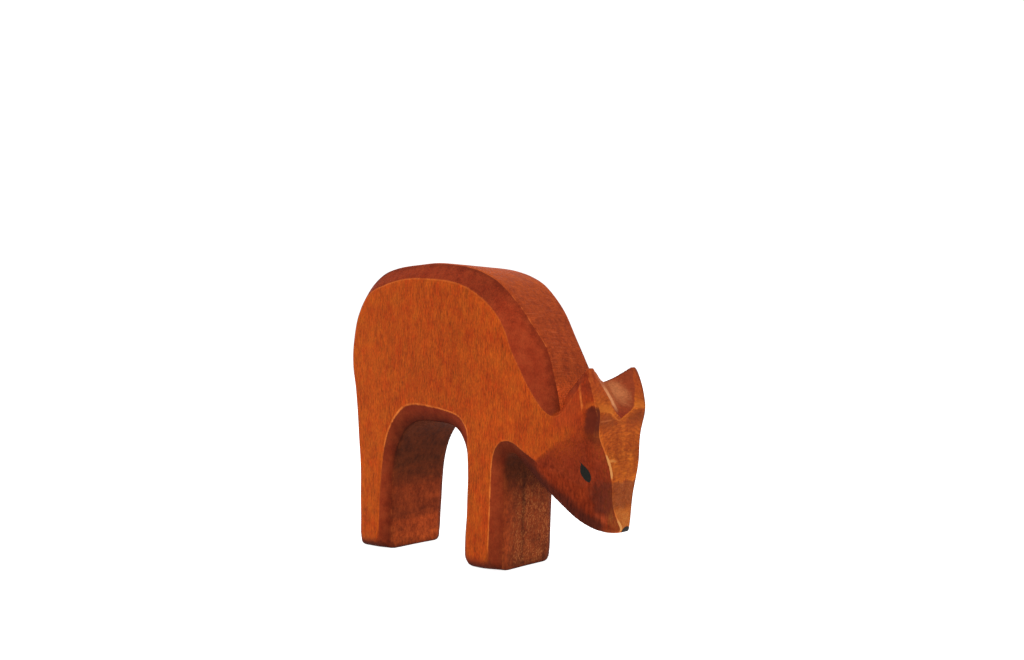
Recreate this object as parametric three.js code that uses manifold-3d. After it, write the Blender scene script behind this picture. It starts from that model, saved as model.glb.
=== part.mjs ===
// Wooden deer figurine, grazing: one carved slab of hardwood with painted eyes and a painted nose.
// Millimetres, +Z up, +X towards the head, Y across the thickness of the board (right flank at -Y).
// The origin is the middle of the bounding box at the level of the soles.

import * as THREE from 'three';
import { mergeVertices } from 'three/addons/utils/BufferGeometryUtils.js';
import Module from 'manifold-3d';

// ---------------------------------------------------------------- driving dimensions

const THICKNESS = 25.7; // board thickness, flank to flank
const STEPS = 3; // points along each station of the outline
const HEAD_OUTER = 22; // how far out the head's cutting solids reach
const EYE_LENGTH = 5.2; // almond, tip to tip
const EYE_WIDTH = 2.3;
const EYE_CENTRE = [41, 28.4]; // X, Z on the cheek
const EYE_TILT = 69; // degrees, slope of the almond, tip up and back
const EYE_DEPTH = 0.9; // depth of the painted plug
const PLAY = 0.3; // clearance round each painted piece
const NOSE_X = 45.7; // the nose tip takes in everything in front of this
const NOSE_Z = 15.0; // and below this

// Sawn outline and flank outline. The slab is sawn to the first curve and its edges are carved back,
// so that each flank ends at the second one. Each station is
// [X and Z of the sawn edge, X and Z of the flank's edge, half thickness at the sawn edge].
const STATIONS = [
  // hind foot heel
  [-40.9, 0, -38.94, 2.38, 11.5], [-42.45, 0.45, -40.34, 2.68, 11.1], [-43.15, 1.8, -41.04, 3.68, 10.9],
  // rear of hind leg and rump
  [-43.3, 5, -41.29, 5.69, 10.7], [-43.3, 12, -41.34, 11.9, 10.6], [-43.35, 20, -41.44, 19.92, 10.5], [-43.65, 27, -41.64, 26.93, 10.4],
  [-44.45, 34, -42.34, 33.95, 10.3], [-45.15, 41, -43.04, 40.96, 10.3], [-46.05, 47.5, -43.95, 47.48, 10.2], [-47.05, 53, -44.95, 52.99, 10.2],
  [-47.55, 58.5, -45.15, 58.5, 10.1], [-47.35, 63.5, -44.45, 63.51, 10], [-46.45, 68, -43.14, 68.02, 10], [-44.75, 72, -41.34, 71.63, 10],
  [-42.03, 75.68, -39.24, 74.63, 10], [-39.13, 78.78, -36.73, 76.64, 10], [-36.33, 80.98, -34.33, 77.64, 10],
  // back
  [-33.25, 82.55, -31.72, 78.24, 10], [-29.15, 83.45, -28.31, 79.04, 10], [-24.15, 83.95, -23.6, 79.74, 10], [-18.15, 84.1, -18.59, 79.94, 10],
  [-11.65, 84.22, -13.08, 79.64, 10], [-5.65, 83.62, -7.07, 79.04, 10], [-0.15, 82.82, -2.26, 78.24, 10], [4.35, 81.72, 1.75, 77.14, 10],
  [8.45, 80.22, 5.56, 75.54, 10],
  // neck
  [12.35, 78.22, 8.97, 73.53, 9.95], [15.45, 75.82, 11.87, 71.43, 9.7], [18.55, 72.72, 14.38, 69.12, 9.3], [21.45, 69.32, 16.58, 66.42, 8.8],
  [23.75, 66.02, 18.19, 63.61, 8.3], [25.85, 63.02, 19.49, 60.3, 7.6], [27.95, 59.6, 21.19, 57.2, 7.2], [29.65, 56, 23.1, 54.19, 7.5],
  [31.05, 52.6, 25, 51.08, 8], [32.35, 49, 27, 48.38, 8.3], [33.35, 46, 29.41, 45.47, 8.7], [34.1, 43.9, 31.91, 43.37, 9.3],
  // ear, back edge
  [34.65, 43.3, 34.62, 42.57, 9.8], [35.45, 45, 37.13, 43.57, 10], [37.25, 47.8, 39.43, 46.17, 11.2], [39.95, 50.6, 41.54, 48.58, 11.2],
  [41.85, 52.5, 42.54, 50.08, 11.2], [43.15, 54.2, 42.84, 50.78, 11.2],
  // ear tip and forehead
  [43.7, 54.75, 43.04, 50.88, 11.2], [44.15, 53.9, 43.14, 50.48, 11.2], [44.75, 52, 43.14, 49.58, 11.2], [45.55, 49.8, 43.24, 48.18, 11.2],
  [46.35, 47, 43.54, 46.17, 11.2], [47.1, 44.6, 43.84, 43.97, 11.2], [47.1, 42.4, 43.84, 41.76, 10.6], [46.55, 40, 43.34, 39.56, 10.6],
  [46.25, 38, 43.04, 37.55, 10.6], [46.4, 36, 43.14, 35.65, 10.6],
  // face
  [46.95, 33.3, 43.54, 32.95, 10], [47.4, 30.5, 43.84, 30.54, 10], [47.45, 28, 43.94, 28.54, 9.5], [47.2, 25, 43.94, 26.53, 8.5],
  [46.85, 22, 43.84, 24.73, 7.5], [46.8, 20, 43.74, 23.53, 6.8], [47.05, 17.6, 43.64, 22.32, 6], [47.45, 15.3, 43.54, 21.32, 5],
  [47.5, 14.2, 43.44, 20.72, 4],
  // chin and jaw
  [47.05, 13.25, 43.24, 20.12, 3.2], [45.35, 13.05, 42.84, 19.72, 4], [43.35, 13.3, 42.34, 19.72, 4.9], [41.25, 13.8, 41.64, 20.12, 5.4],
  [39.25, 14.8, 40.63, 20.92, 6.2], [37.35, 16.05, 39.43, 22.12, 7], [35.45, 17.7, 38.03, 23.53, 7.8], [33.45, 19.5, 36.42, 25.13, 8.5],
  [31.25, 21.4, 34.62, 26.63, 9.1], [27.75, 24.1, 31.21, 28.94, 9.4], [24.45, 27, 27.61, 31.14, 9.6],
  // throat and front of front leg
  [21.95, 29.2, 24.2, 32.84, 9.8], [19.75, 31, 21.29, 34.55, 9.9], [17.95, 31.7, 18.59, 35.25, 9.9], [16.45, 31, 15.98, 34.55, 9.9],
  [15.75, 28.8, 14.08, 32.34, 9.9], [15.55, 25.5, 13.07, 28.54, 9.9], [15.45, 20, 12.67, 21.92, 9.9], [15.25, 14.5, 12.37, 15.41, 9.9],
  [14.95, 9, 12.07, 9.7, 9.9], [14.75, 3.6, 11.87, 5.09, 9.9],
  // front foot sole
  [14.7, 0.3, 11.47, 3.18, 9.8], [14.5, 0.02, 10.87, 2.58, 9.9], [13.45, 0, 10.07, 2.38, 10.2], [8.85, 0, 8.06, 2.38, 11.7],
  [4.35, 0, 5.36, 2.38, 11.7], [2.55, 0.65, 4.16, 2.68, 11.3], [1.35, 2.3, 3.55, 3.68, 11],
  // rear of front leg
  [1.05, 4.6, 3.35, 5.49, 10.6], [1.1, 9.5, 3.5, 9.6, 10.3], [1.5, 14, 3.96, 13.9, 10.2], [1.75, 19, 4.11, 18.92, 10.1],
  [1.95, 24, 4.26, 23.93, 10], [1.65, 28.8, 4.26, 29.14, 10],
  // belly arch
  [1, 32, 4.16, 33.35, 10], [-0.2, 34.4, 3.81, 36.75, 10], [-1.8, 36.3, 2.55, 38.96, 10], [-3.85, 37.6, 0.15, 40.96, 10],
  [-6.85, 38.3, -3.86, 42.06, 10], [-10.45, 38.6, -8.67, 42.87, 10.5], [-14.25, 38.7, -13.68, 43.37, 10.5], [-17.85, 38.4, -18.29, 43.47, 10.5],
  [-20.85, 37.3, -22, 42.57, 10.5], [-23.35, 35.4, -25.11, 40.26, 10.5], [-25.35, 32.7, -27.51, 37.35, 10.5], [-26.95, 29.4, -29.31, 33.95, 10.5],
  // front of hind leg
  [-28.05, 25.8, -30.62, 29.94, 10.4], [-28.85, 21.8, -31.52, 25.13, 10.4], [-29.35, 17.4, -32.12, 19.72, 10.4], [-29.75, 12.6, -32.52, 13.9, 10.4],
  [-30.05, 7.6, -32.82, 8.49, 10], [-30.2, 3.2, -33.02, 4.89, 9.9],
  // hind foot sole
  [-30.25, 0.3, -33.42, 3.18, 9.8], [-30.5, 0.02, -34.12, 2.58, 10], [-31.55, 0, -34.93, 2.38, 10.4], [-35.65, 0, -36.93, 2.38, 11.4],
];

// The front of the head, from above the ears down to below the chin. Each row is [Z, X of the
// front, its half width, then how steeply the cheek opens out over the first 2.4 mm behind the
// front, and how steeply behind that].
const FRONT = [
  [62, 41.5, 10.2, 1.45, 1.45],
  [55, 43.4, 10.4, 1.45, 1.45],
  [54, 43.8, 10.6, 1.45, 1.45],
  [52, 44.8, 10.9, 1.4, 1.4],
  [50, 45.5, 10.9, 1.4, 1.4],
  [48, 46.1, 10.75, 1.4, 1.4],
  [46.6, 46.5, 10.5, 1.35, 1.3],
  [45.4, 46.9, 10.25, 1.15, 0.8],
  [44, 47.17, 9.9, 0.95, 0.5],
  [42, 47.0, 9.7, 1.0, 0.34],
  [40, 46.53, 9.35, 1.0, 0.38],
  [38, 46.24, 9.08, 0.8, 0.4],
  [36, 46.35, 8.44, 0.62, 0.4],
  [34, 46.82, 7.67, 0.5, 0.38],
  [32, 47.23, 7.05, 0.42, 0.36],
  [30, 47.43, 6.46, 0.38, 0.35],
  [28, 47.43, 5.88, 0.36, 0.35],
  [26, 47.33, 5.29, 0.36, 0.35],
  [24, 47.07, 4.85, 0.36, 0.35],
  [22, 46.84, 4.54, 0.38, 0.35],
  [20, 46.79, 4.16, 0.42, 0.35],
  [18, 46.97, 3.57, 0.55, 0.35],
  [16, 47.31, 2.73, 0.75, 0.35],
  [14.5, 47.5, 2.0, 0.95, 0.35],
  [13, 47.5, 1.5, 1.1, 0.35],
  [9, 47.5, 1.2, 1.2, 0.35],
];
const CHEEK_STEPS = [-4, -1, 0, 1.2, 2.4, 5, 8, 12, 16, 20, 25, 31];

// The notch between the ears. Each row is [Z, X and half width where the notch begins at the back,
// half width where it comes out at the front, Y of its middle].
const NOTCH = [
  [58, 46.4, 12.4, 12.6, 0.1],
  [56, 44.6, 10.4, 10.5, 0.1],
  [54.75, 43.55, 8.6, 8.8, 0.1],
  [54.1, 43, 6.6, 8.1, 0.1],
  [53.3, 42.35, 5, 7.75, 0.1],
  [52.3, 41.55, 3.05, 7.5, 0.15],
  [51.5, 40.91, 1.3, 7.35, 0.2],
  [50.9, 40.87, 0.05, 7.2, 0.3],
  [50, 41.48, 0.05, 6.9, 0.45],
  [48.7, 42.37, 0.05, 6.25, 0.6],
  [46.5, 43.88, 0.05, 5.25, 0.6],
  [45.4, 44.63, 0.05, 4.8, 0.3],
  [44.2, 45.45, 0.05, 3.75, 0],
  [43.4, 45.97, 0.05, 2.65, -0.4],
  [42.6, 46.46, 0.05, 1.65, -0.75],
  [42, 46.82, 0.05, 0.9, -0.95],
  [41.4, 47.14, 0.05, 0.35, -1],
];

// ---------------------------------------------------------------- solids

const wasm = await Module();
wasm.setup();

function solid(geometry) {
  let g = geometry.clone();
  for (const name of Object.keys(g.attributes)) if (name !== 'position') g.deleteAttribute(name);
  g = mergeVertices(g, 1e-4);
  return new wasm.Manifold(new wasm.Mesh({
    numProp: 3,
    vertProperties: new Float32Array(g.attributes.position.array),
    triVerts: new Uint32Array(g.index.array),
  }));
}

function geometryOf(manifold) {
  const mesh = manifold.getMesh();
  const g = new THREE.BufferGeometry();
  g.setAttribute('position', new THREE.BufferAttribute(new Float32Array(mesh.vertProperties), 3));
  g.setIndex(new THREE.BufferAttribute(new Uint32Array(mesh.triVerts), 1));
  return g;
}

// A closed mesh from a list of points and triangles, turned inside out if its faces point inwards.
function closed(points, triangles) {
  let volume = 0;
  for (const [a, b, c] of triangles) volume += points[a].dot(new THREE.Vector3().crossVectors(points[b], points[c]));
  const g = new THREE.BufferGeometry().setFromPoints(points);
  g.setIndex(triangles.flatMap(([a, b, c]) => (volume > 0 ? [a, b, c] : [a, c, b])));
  return g;
}

// Column of a table at height z, straight between its rows.
function column(table, k, z) {
  const rows = [...table].sort((a, b) => a[0] - b[0]);
  if (z <= rows[0][0]) return rows[0][k];
  for (let i = 1; i < rows.length; i++) {
    if (z <= rows[i][0]) {
      const t = (z - rows[i - 1][0]) / (rows[i][0] - rows[i - 1][0]);
      return rows[i - 1][k] + t * (rows[i][k] - rows[i - 1][k]);
    }
  }
  return rows[rows.length - 1][k];
}

// The slab: two rings a side, the sawn edge and the flank's edge, joined all round.
function slab() {
  const half = THICKNESS / 2;
  const sawn = new THREE.CatmullRomCurve3(STATIONS.map((s) => new THREE.Vector3(s[0], s[4], s[1])), true, 'catmullrom', 0.5);
  const flank = new THREE.CatmullRomCurve3(STATIONS.map((s) => new THREE.Vector3(s[2], half, s[3])), true, 'catmullrom', 0.5);
  const n = STATIONS.length * STEPS;
  const rings = [];
  for (const [curve, side] of [[flank, -1], [sawn, -1], [sawn, 1], [flank, 1]]) {
    const ring = [];
    for (let i = 0; i < n; i++) {
      const p = curve.getPoint(i / n);
      ring.push(new THREE.Vector3(p.x, side * p.y, Math.max(0, p.z)));
    }
    rings.push(ring);
  }
  const points = rings.flat();
  const triangles = [];
  for (let r = 0; r < 3; r++) {
    for (let i = 0; i < n; i++) {
      const j = (i + 1) % n;
      const [a, b, c, d] = [r * n + i, r * n + j, (r + 1) * n + j, (r + 1) * n + i];
      triangles.push([a, c, b], [a, d, c]);
    }
  }
  const contour = rings[0].map((p) => new THREE.Vector2(p.x, p.z));
  const turn = Math.sign(THREE.ShapeUtils.area(contour));
  for (const [a, b, c] of THREE.ShapeUtils.triangulateShape(contour, [])) {
    const same = THREE.ShapeUtils.area([contour[a], contour[b], contour[c]]) * turn > 0;
    const near = same ? [a, b, c] : [a, c, b];
    triangles.push(near, [3 * n + near[0], 3 * n + near[2], 3 * n + near[1]]);
  }
  return { points, triangles, n };
}

// A solid between a surface given as a grid of points and the same grid moved out to |Y| = outer.
function outside(rows, outerY) {
  const m = rows.length;
  const k = rows[0].length;
  const points = rows.flat().concat(rows.flat().map((p) => new THREE.Vector3(p.x, outerY, p.z)));
  const at = (i, j, top) => (top ? m * k : 0) + i * k + j;
  const triangles = [];
  for (let i = 0; i + 1 < m; i++) {
    for (let j = 0; j + 1 < k; j++) {
      const q = [at(i, j, 0), at(i + 1, j, 0), at(i + 1, j + 1, 0), at(i, j + 1, 0)];
      triangles.push([q[0], q[1], q[2]], [q[0], q[2], q[3]]);
      const w = [at(i, j, 1), at(i + 1, j, 1), at(i + 1, j + 1, 1), at(i, j + 1, 1)];
      triangles.push([w[0], w[2], w[1]], [w[0], w[3], w[2]]);
    }
  }
  const rim = [];
  for (let j = 0; j + 1 < k; j++) rim.push([at(0, j, 0), at(0, j + 1, 0), at(0, j, 1), at(0, j + 1, 1)]);
  for (let i = 0; i + 1 < m; i++) rim.push([at(i, k - 1, 0), at(i + 1, k - 1, 0), at(i, k - 1, 1), at(i + 1, k - 1, 1)]);
  for (let j = k - 1; j > 0; j--) rim.push([at(m - 1, j, 0), at(m - 1, j - 1, 0), at(m - 1, j, 1), at(m - 1, j - 1, 1)]);
  for (let i = m - 1; i > 0; i--) rim.push([at(i, 0, 0), at(i - 1, 0, 0), at(i, 0, 1), at(i - 1, 0, 1)]);
  for (const [a, b, c, d] of rim) triangles.push([a, b, d], [a, d, c]);
  return closed(points, triangles);
}

// Half width of the head u millimetres behind its front, at height z.
function cheek(z, u) {
  const width = column(FRONT, 2, z);
  const [k1, k2] = [column(FRONT, 3, z), column(FRONT, 4, z)];
  return Math.max(0.7, u <= 2.4 ? width + k1 * u : width + k1 * 2.4 + k2 * (u - 2.4));
}

function cheekSurface(side, lift = 0) {
  const levels = FRONT.map((r) => r[0]).flatMap((z, i, all) => (i + 1 < all.length && Math.abs(all[i + 1] - z) > 3 ? [z, (z + all[i + 1]) / 2] : [z]));
  return levels.map((z) => CHEEK_STEPS.map((u) => new THREE.Vector3(column(FRONT, 1, z) - u, side * (cheek(z, u) + lift), z)));
}

// The gouged notch: everything nearer the middle than its two walls.
function notch() {
  const rows = NOTCH.map(([z, x, back, front, middle]) => {
    const frontX = column(FRONT, 1, z);
    const reach = Math.max(1, frontX - x);
    const slope = (front - back) / reach;
    const line = [];
    // a step behind the back of the notch, its start, its exit and a step in front
    for (const t of [back > 0.1 ? -4 : -0.3, 0, reach, reach + 4]) {
      const y = t < 0 ? Math.max(0.05, back + slope * t) : back + slope * t;
      line.push([x + t, y]);
    }
    return line.map(([px, y]) => [px, y, z, middle]);
  });
  const m = rows.length;
  const k = rows[0].length;
  const points = [];
  for (const side of [-1, 1]) for (const row of rows) for (const [x, y, z, middle] of row) points.push(new THREE.Vector3(x, middle + side * y, z));
  const at = (s, i, j) => s * m * k + i * k + j;
  const triangles = [];
  for (let i = 0; i + 1 < m; i++) {
    for (let j = 0; j + 1 < k; j++) {
      triangles.push([at(0, i, j), at(0, i + 1, j), at(0, i + 1, j + 1)], [at(0, i, j), at(0, i + 1, j + 1), at(0, i, j + 1)]);
      triangles.push([at(1, i, j), at(1, i + 1, j + 1), at(1, i + 1, j)], [at(1, i, j), at(1, i, j + 1), at(1, i + 1, j + 1)]);
    }
  }
  for (let j = 0; j + 1 < k; j++) {
    triangles.push([at(0, 0, j), at(0, 0, j + 1), at(1, 0, j + 1)], [at(0, 0, j), at(1, 0, j + 1), at(1, 0, j)]);
    triangles.push([at(0, m - 1, j), at(1, m - 1, j + 1), at(0, m - 1, j + 1)], [at(0, m - 1, j), at(1, m - 1, j), at(1, m - 1, j + 1)]);
  }
  for (let i = 0; i + 1 < m; i++) {
    triangles.push([at(0, i, 0), at(1, i, 0), at(1, i + 1, 0)], [at(0, i, 0), at(1, i + 1, 0), at(0, i + 1, 0)]);
    triangles.push([at(0, i, k - 1), at(1, i + 1, k - 1), at(1, i, k - 1)], [at(0, i, k - 1), at(0, i + 1, k - 1), at(1, i + 1, k - 1)]);
  }
  return closed(points, triangles);
}

// An almond with its long axis along X, pushed through the cheek along Y.
function almond(grow) {
  const [a, b] = [EYE_LENGTH / 2 + grow, EYE_WIDTH / 2 + grow];
  const shape = new THREE.Shape();
  shape.moveTo(-a, 0);
  shape.quadraticCurveTo(-a * 0.45, b * 1.15, 0, b);
  shape.quadraticCurveTo(a * 0.7, b * 0.85, a, 0);
  shape.quadraticCurveTo(a * 0.7, -b * 0.85, 0, -b);
  shape.quadraticCurveTo(-a * 0.45, -b * 1.15, -a, 0);
  const g = new THREE.ExtrudeGeometry(shape, { depth: 16, bevelEnabled: false, curveSegments: 6 });
  g.rotateX(Math.PI / 2); // the outline lies in XZ, the depth runs along Y
  g.rotateY(THREE.MathUtils.degToRad(EYE_TILT));
  return g;
}

function eyeTool(side, grow) {
  const g = almond(grow);
  g.translate(EYE_CENTRE[0], side < 0 ? 0 : 16, EYE_CENTRE[1]);
  return solid(g);
}

const slabMesh = slab();
const blank = solid(closed(slabMesh.points, slabMesh.triangles));
let head = blank;
for (const side of [-1, 1]) head = head.subtract(solid(outside(cheekSurface(side), side * HEAD_OUTER)));
const carved = head.subtract(solid(notch()));

// Each eye is a shallow almond let into the cheek, as deep all over as the paint's plug.
const skin = (side, depth) => solid(outside(cheekSurface(side, -depth), side * HEAD_OUTER));
const eyes = [-1, 1].map((side) => carved.intersect(eyeTool(side, 0).intersect(skin(side, EYE_DEPTH))));
const sockets = [-1, 1].map((side) => eyeTool(side, PLAY).intersect(skin(side, EYE_DEPTH + PLAY)));

// The painted tip of the nose.
function noseTool(back) {
  const g = new THREE.BoxGeometry(10, 20, 10);
  g.translate(NOSE_X - back + 5, 0, NOSE_Z + back - 5);
  return solid(g);
}
const nose = carved.intersect(noseTool(0));
let body = carved.subtract(noseTool(PLAY));
for (const socket of sockets) body = body.subtract(socket);

// ---------------------------------------------------------------- scene graph

function piece(name, manifold, colour, roughness) {
  const material = new THREE.MeshStandardMaterial({ color: colour, roughness, metalness: 0 });
  const mesh = new THREE.Mesh(geometryOf(manifold), material);
  mesh.name = name;
  return mesh;
}

const deer = new THREE.Group();
deer.add(piece('body', body, 0xa4481f, 0.55));

const face = new THREE.Group();
face.add(piece('eye_right', eyes[0], 0x17110f, 0.45));
face.add(piece('eye_left', eyes[1], 0x17110f, 0.45));
face.add(piece('nose_tip', nose, 0x17110f, 0.45));
deer.add(face);

export default deer;
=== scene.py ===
# Looks of a carved wooden deer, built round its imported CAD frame. Metres, +Z up, +X towards the head.

import math

import bpy
import numpy as np
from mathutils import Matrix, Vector


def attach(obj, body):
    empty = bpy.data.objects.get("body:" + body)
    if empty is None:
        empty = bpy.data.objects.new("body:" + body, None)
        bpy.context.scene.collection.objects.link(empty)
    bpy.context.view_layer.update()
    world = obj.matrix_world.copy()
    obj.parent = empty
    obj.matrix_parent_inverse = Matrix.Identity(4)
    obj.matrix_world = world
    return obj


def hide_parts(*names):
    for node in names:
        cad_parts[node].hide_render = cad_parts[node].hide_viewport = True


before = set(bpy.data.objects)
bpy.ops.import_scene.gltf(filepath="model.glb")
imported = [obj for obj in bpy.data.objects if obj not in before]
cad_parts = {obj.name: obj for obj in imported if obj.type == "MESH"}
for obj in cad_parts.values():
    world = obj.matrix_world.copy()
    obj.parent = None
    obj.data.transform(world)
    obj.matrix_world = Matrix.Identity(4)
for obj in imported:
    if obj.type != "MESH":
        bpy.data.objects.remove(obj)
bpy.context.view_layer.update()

# ---------------------------------------------------------------- the shape, in millimetres

THICKNESS = 25.7  # board thickness, flank to flank
GRID = 0.485  # spacing of the grid that the body is meshed on
FINE = 0.11  # the same for the painted marks
EYE_LENGTH = 6.0
EYE_CENTRE = (40.95, 28.7)
EYE_TILT = math.radians(72.5)

# X and Z of the sawn edge, X and Z of the flank's edge, half thickness at the sawn edge
STATIONS = np.array([
    # hind foot heel
    [-40.9, 0, -38.94, 2.38, 11.5], [-42.45, 0.45, -40.34, 2.68, 11.1], [-43.15, 1.8, -41.04, 3.68, 10.9],
    # rear of hind leg and rump
    [-43.3, 5, -41.29, 5.69, 10.7], [-43.3, 12, -41.34, 11.9, 10.6], [-43.35, 20, -41.44, 19.92, 10.5], [-43.65, 27, -41.64, 26.93, 10.4],
    [-44.45, 34, -42.34, 33.95, 10.3], [-45.15, 41, -43.04, 40.96, 10.3], [-46.05, 47.5, -43.95, 47.48, 10.2], [-47.05, 53, -44.95, 52.99, 10.2],
    [-47.55, 58.5, -45.15, 58.5, 10.1], [-47.35, 63.5, -44.45, 63.51, 10], [-46.45, 68, -43.14, 68.02, 10], [-44.75, 72, -41.34, 71.63, 10],
    [-42.03, 75.68, -39.24, 74.63, 10], [-39.13, 78.78, -36.73, 76.64, 10], [-36.33, 80.98, -34.33, 77.64, 10],
    # back
    [-33.25, 82.55, -31.72, 78.24, 10], [-29.15, 83.45, -28.31, 79.04, 10], [-24.15, 83.95, -23.6, 79.74, 10], [-18.15, 84.1, -18.59, 79.94, 10],
    [-11.65, 84.22, -13.08, 79.64, 10], [-5.65, 83.62, -7.07, 79.04, 10], [-0.15, 82.82, -2.26, 78.24, 10], [4.35, 81.72, 1.75, 77.14, 10],
    [8.45, 80.22, 5.56, 75.54, 10],
    # neck
    [12.35, 78.22, 8.97, 73.53, 9.95], [15.45, 75.82, 11.87, 71.43, 9.7], [18.55, 72.72, 14.38, 69.12, 9.3], [21.45, 69.32, 16.58, 66.42, 8.8],
    [23.75, 66.02, 18.19, 63.61, 8.3], [25.85, 63.02, 19.49, 60.3, 7.6], [27.95, 59.6, 21.19, 57.2, 7.2], [29.65, 56, 23.1, 54.19, 7.5],
    [31.05, 52.6, 25, 51.08, 8], [32.35, 49, 27, 48.38, 8.3], [33.35, 46, 29.41, 45.47, 8.7], [34.1, 43.9, 31.91, 43.37, 9.3],
    # ear, back edge
    [34.65, 43.3, 34.62, 42.57, 9.8], [35.45, 45, 37.13, 43.57, 10], [37.25, 47.8, 39.43, 46.17, 11.2], [39.95, 50.6, 41.54, 48.58, 11.2],
    [41.85, 52.5, 42.54, 50.08, 11.2], [43.15, 54.2, 42.84, 50.78, 11.2],
    # ear tip and forehead
    [43.7, 54.75, 43.04, 50.88, 11.2], [44.15, 53.9, 43.14, 50.48, 11.2], [44.75, 52, 43.14, 49.58, 11.2], [45.55, 49.8, 43.24, 48.18, 11.2],
    [46.35, 47, 43.54, 46.17, 11.2], [47.1, 44.6, 43.84, 43.97, 11.2], [47.1, 42.4, 43.84, 41.76, 10.6], [46.55, 40, 43.34, 39.56, 10.6],
    [46.25, 38, 43.04, 37.55, 10.6], [46.4, 36, 43.14, 35.65, 10.6],
    # face
    [46.95, 33.3, 43.54, 32.95, 10], [47.4, 30.5, 43.84, 30.54, 10], [47.45, 28, 43.94, 28.54, 9.5], [47.2, 25, 43.94, 26.53, 8.5],
    [46.85, 22, 43.84, 24.73, 7.5], [46.8, 20, 43.74, 23.53, 6.8], [47.05, 17.6, 43.64, 22.32, 6], [47.45, 15.3, 43.54, 21.32, 5],
    [47.5, 14.2, 43.44, 20.72, 4],
    # chin and jaw
    [47.05, 13.25, 43.24, 20.12, 3.2], [45.35, 13.05, 42.84, 19.72, 4], [43.35, 13.3, 42.34, 19.72, 4.9], [41.25, 13.8, 41.64, 20.12, 5.4],
    [39.25, 14.8, 40.63, 20.92, 6.2], [37.35, 16.05, 39.43, 22.12, 7], [35.45, 17.7, 38.03, 23.53, 7.8], [33.45, 19.5, 36.42, 25.13, 8.5],
    [31.25, 21.4, 34.62, 26.63, 9.1], [27.75, 24.1, 31.21, 28.94, 9.4], [24.45, 27, 27.61, 31.14, 9.6],
    # throat and front of front leg
    [21.95, 29.2, 24.2, 32.84, 9.8], [19.75, 31, 21.29, 34.55, 9.9], [17.95, 31.7, 18.59, 35.25, 9.9], [16.45, 31, 15.98, 34.55, 9.9],
    [15.75, 28.8, 14.08, 32.34, 9.9], [15.55, 25.5, 13.07, 28.54, 9.9], [15.45, 20, 12.67, 21.92, 9.9], [15.25, 14.5, 12.37, 15.41, 9.9],
    [14.95, 9, 12.07, 9.7, 9.9], [14.75, 3.6, 11.87, 5.09, 9.9],
    # front foot sole
    [14.7, 0.3, 11.47, 3.18, 9.8], [14.5, 0.02, 10.87, 2.58, 9.9], [13.45, 0, 10.07, 2.38, 10.2], [8.85, 0, 8.06, 2.38, 11.7],
    [4.35, 0, 5.36, 2.38, 11.7], [2.55, 0.65, 4.16, 2.68, 11.3], [1.35, 2.3, 3.55, 3.68, 11],
    # rear of front leg
    [1.05, 4.6, 3.35, 5.49, 10.6], [1.1, 9.5, 3.5, 9.6, 10.3], [1.5, 14, 3.96, 13.9, 10.2], [1.75, 19, 4.11, 18.92, 10.1],
    [1.95, 24, 4.26, 23.93, 10], [1.65, 28.8, 4.26, 29.14, 10],
    # belly arch
    [1, 32, 4.16, 33.35, 10], [-0.2, 34.4, 3.81, 36.75, 10], [-1.8, 36.3, 2.55, 38.96, 10], [-3.85, 37.6, 0.15, 40.96, 10],
    [-6.85, 38.3, -3.86, 42.06, 10], [-10.45, 38.6, -8.67, 42.87, 10.5], [-14.25, 38.7, -13.68, 43.37, 10.5], [-17.85, 38.4, -18.29, 43.47, 10.5],
    [-20.85, 37.3, -22, 42.57, 10.5], [-23.35, 35.4, -25.11, 40.26, 10.5], [-25.35, 32.7, -27.51, 37.35, 10.5], [-26.95, 29.4, -29.31, 33.95, 10.5],
    # front of hind leg
    [-28.05, 25.8, -30.62, 29.94, 10.4], [-28.85, 21.8, -31.52, 25.13, 10.4], [-29.35, 17.4, -32.12, 19.72, 10.4], [-29.75, 12.6, -32.52, 13.9, 10.4],
    [-30.05, 7.6, -32.82, 8.49, 10], [-30.2, 3.2, -33.02, 4.89, 9.9],
    # hind foot sole
    [-30.25, 0.3, -33.42, 3.18, 9.8], [-30.5, 0.02, -34.12, 2.58, 10], [-31.55, 0, -34.93, 2.38, 10.4], [-35.65, 0, -36.93, 2.38, 11.4],
])

FRONT = np.array([
    [62, 41.5, 10.2, 1.45, 1.45],
    [55, 43.4, 10.4, 1.45, 1.45],
    [54, 43.8, 10.6, 1.45, 1.45],
    [52, 44.8, 10.9, 1.4, 1.4],
    [50, 45.5, 10.9, 1.4, 1.4],
    [48, 46.1, 10.75, 1.4, 1.4],
    [46.6, 46.5, 10.5, 1.35, 1.3],
    [45.4, 46.9, 10.25, 1.15, 0.8],
    [44, 47.17, 9.9, 0.95, 0.5],
    [42, 47.0, 9.7, 1.0, 0.34],
    [40, 46.53, 9.35, 1.0, 0.38],
    [38, 46.24, 9.08, 0.8, 0.4],
    [36, 46.35, 8.44, 0.62, 0.4],
    [34, 46.82, 7.67, 0.5, 0.38],
    [32, 47.23, 7.05, 0.42, 0.36],
    [30, 47.43, 6.46, 0.38, 0.35],
    [28, 47.43, 5.88, 0.36, 0.35],
    [26, 47.33, 5.29, 0.36, 0.35],
    [24, 47.07, 4.85, 0.36, 0.35],
    [22, 46.84, 4.54, 0.38, 0.35],
    [20, 46.79, 4.16, 0.42, 0.35],
    [18, 46.97, 3.57, 0.55, 0.35],
    [16, 47.31, 2.73, 0.75, 0.35],
    [14.5, 47.5, 2.0, 0.95, 0.35],
    [13, 47.5, 1.5, 1.1, 0.35],
    [9, 47.5, 1.2, 1.2, 0.35],
])

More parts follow.
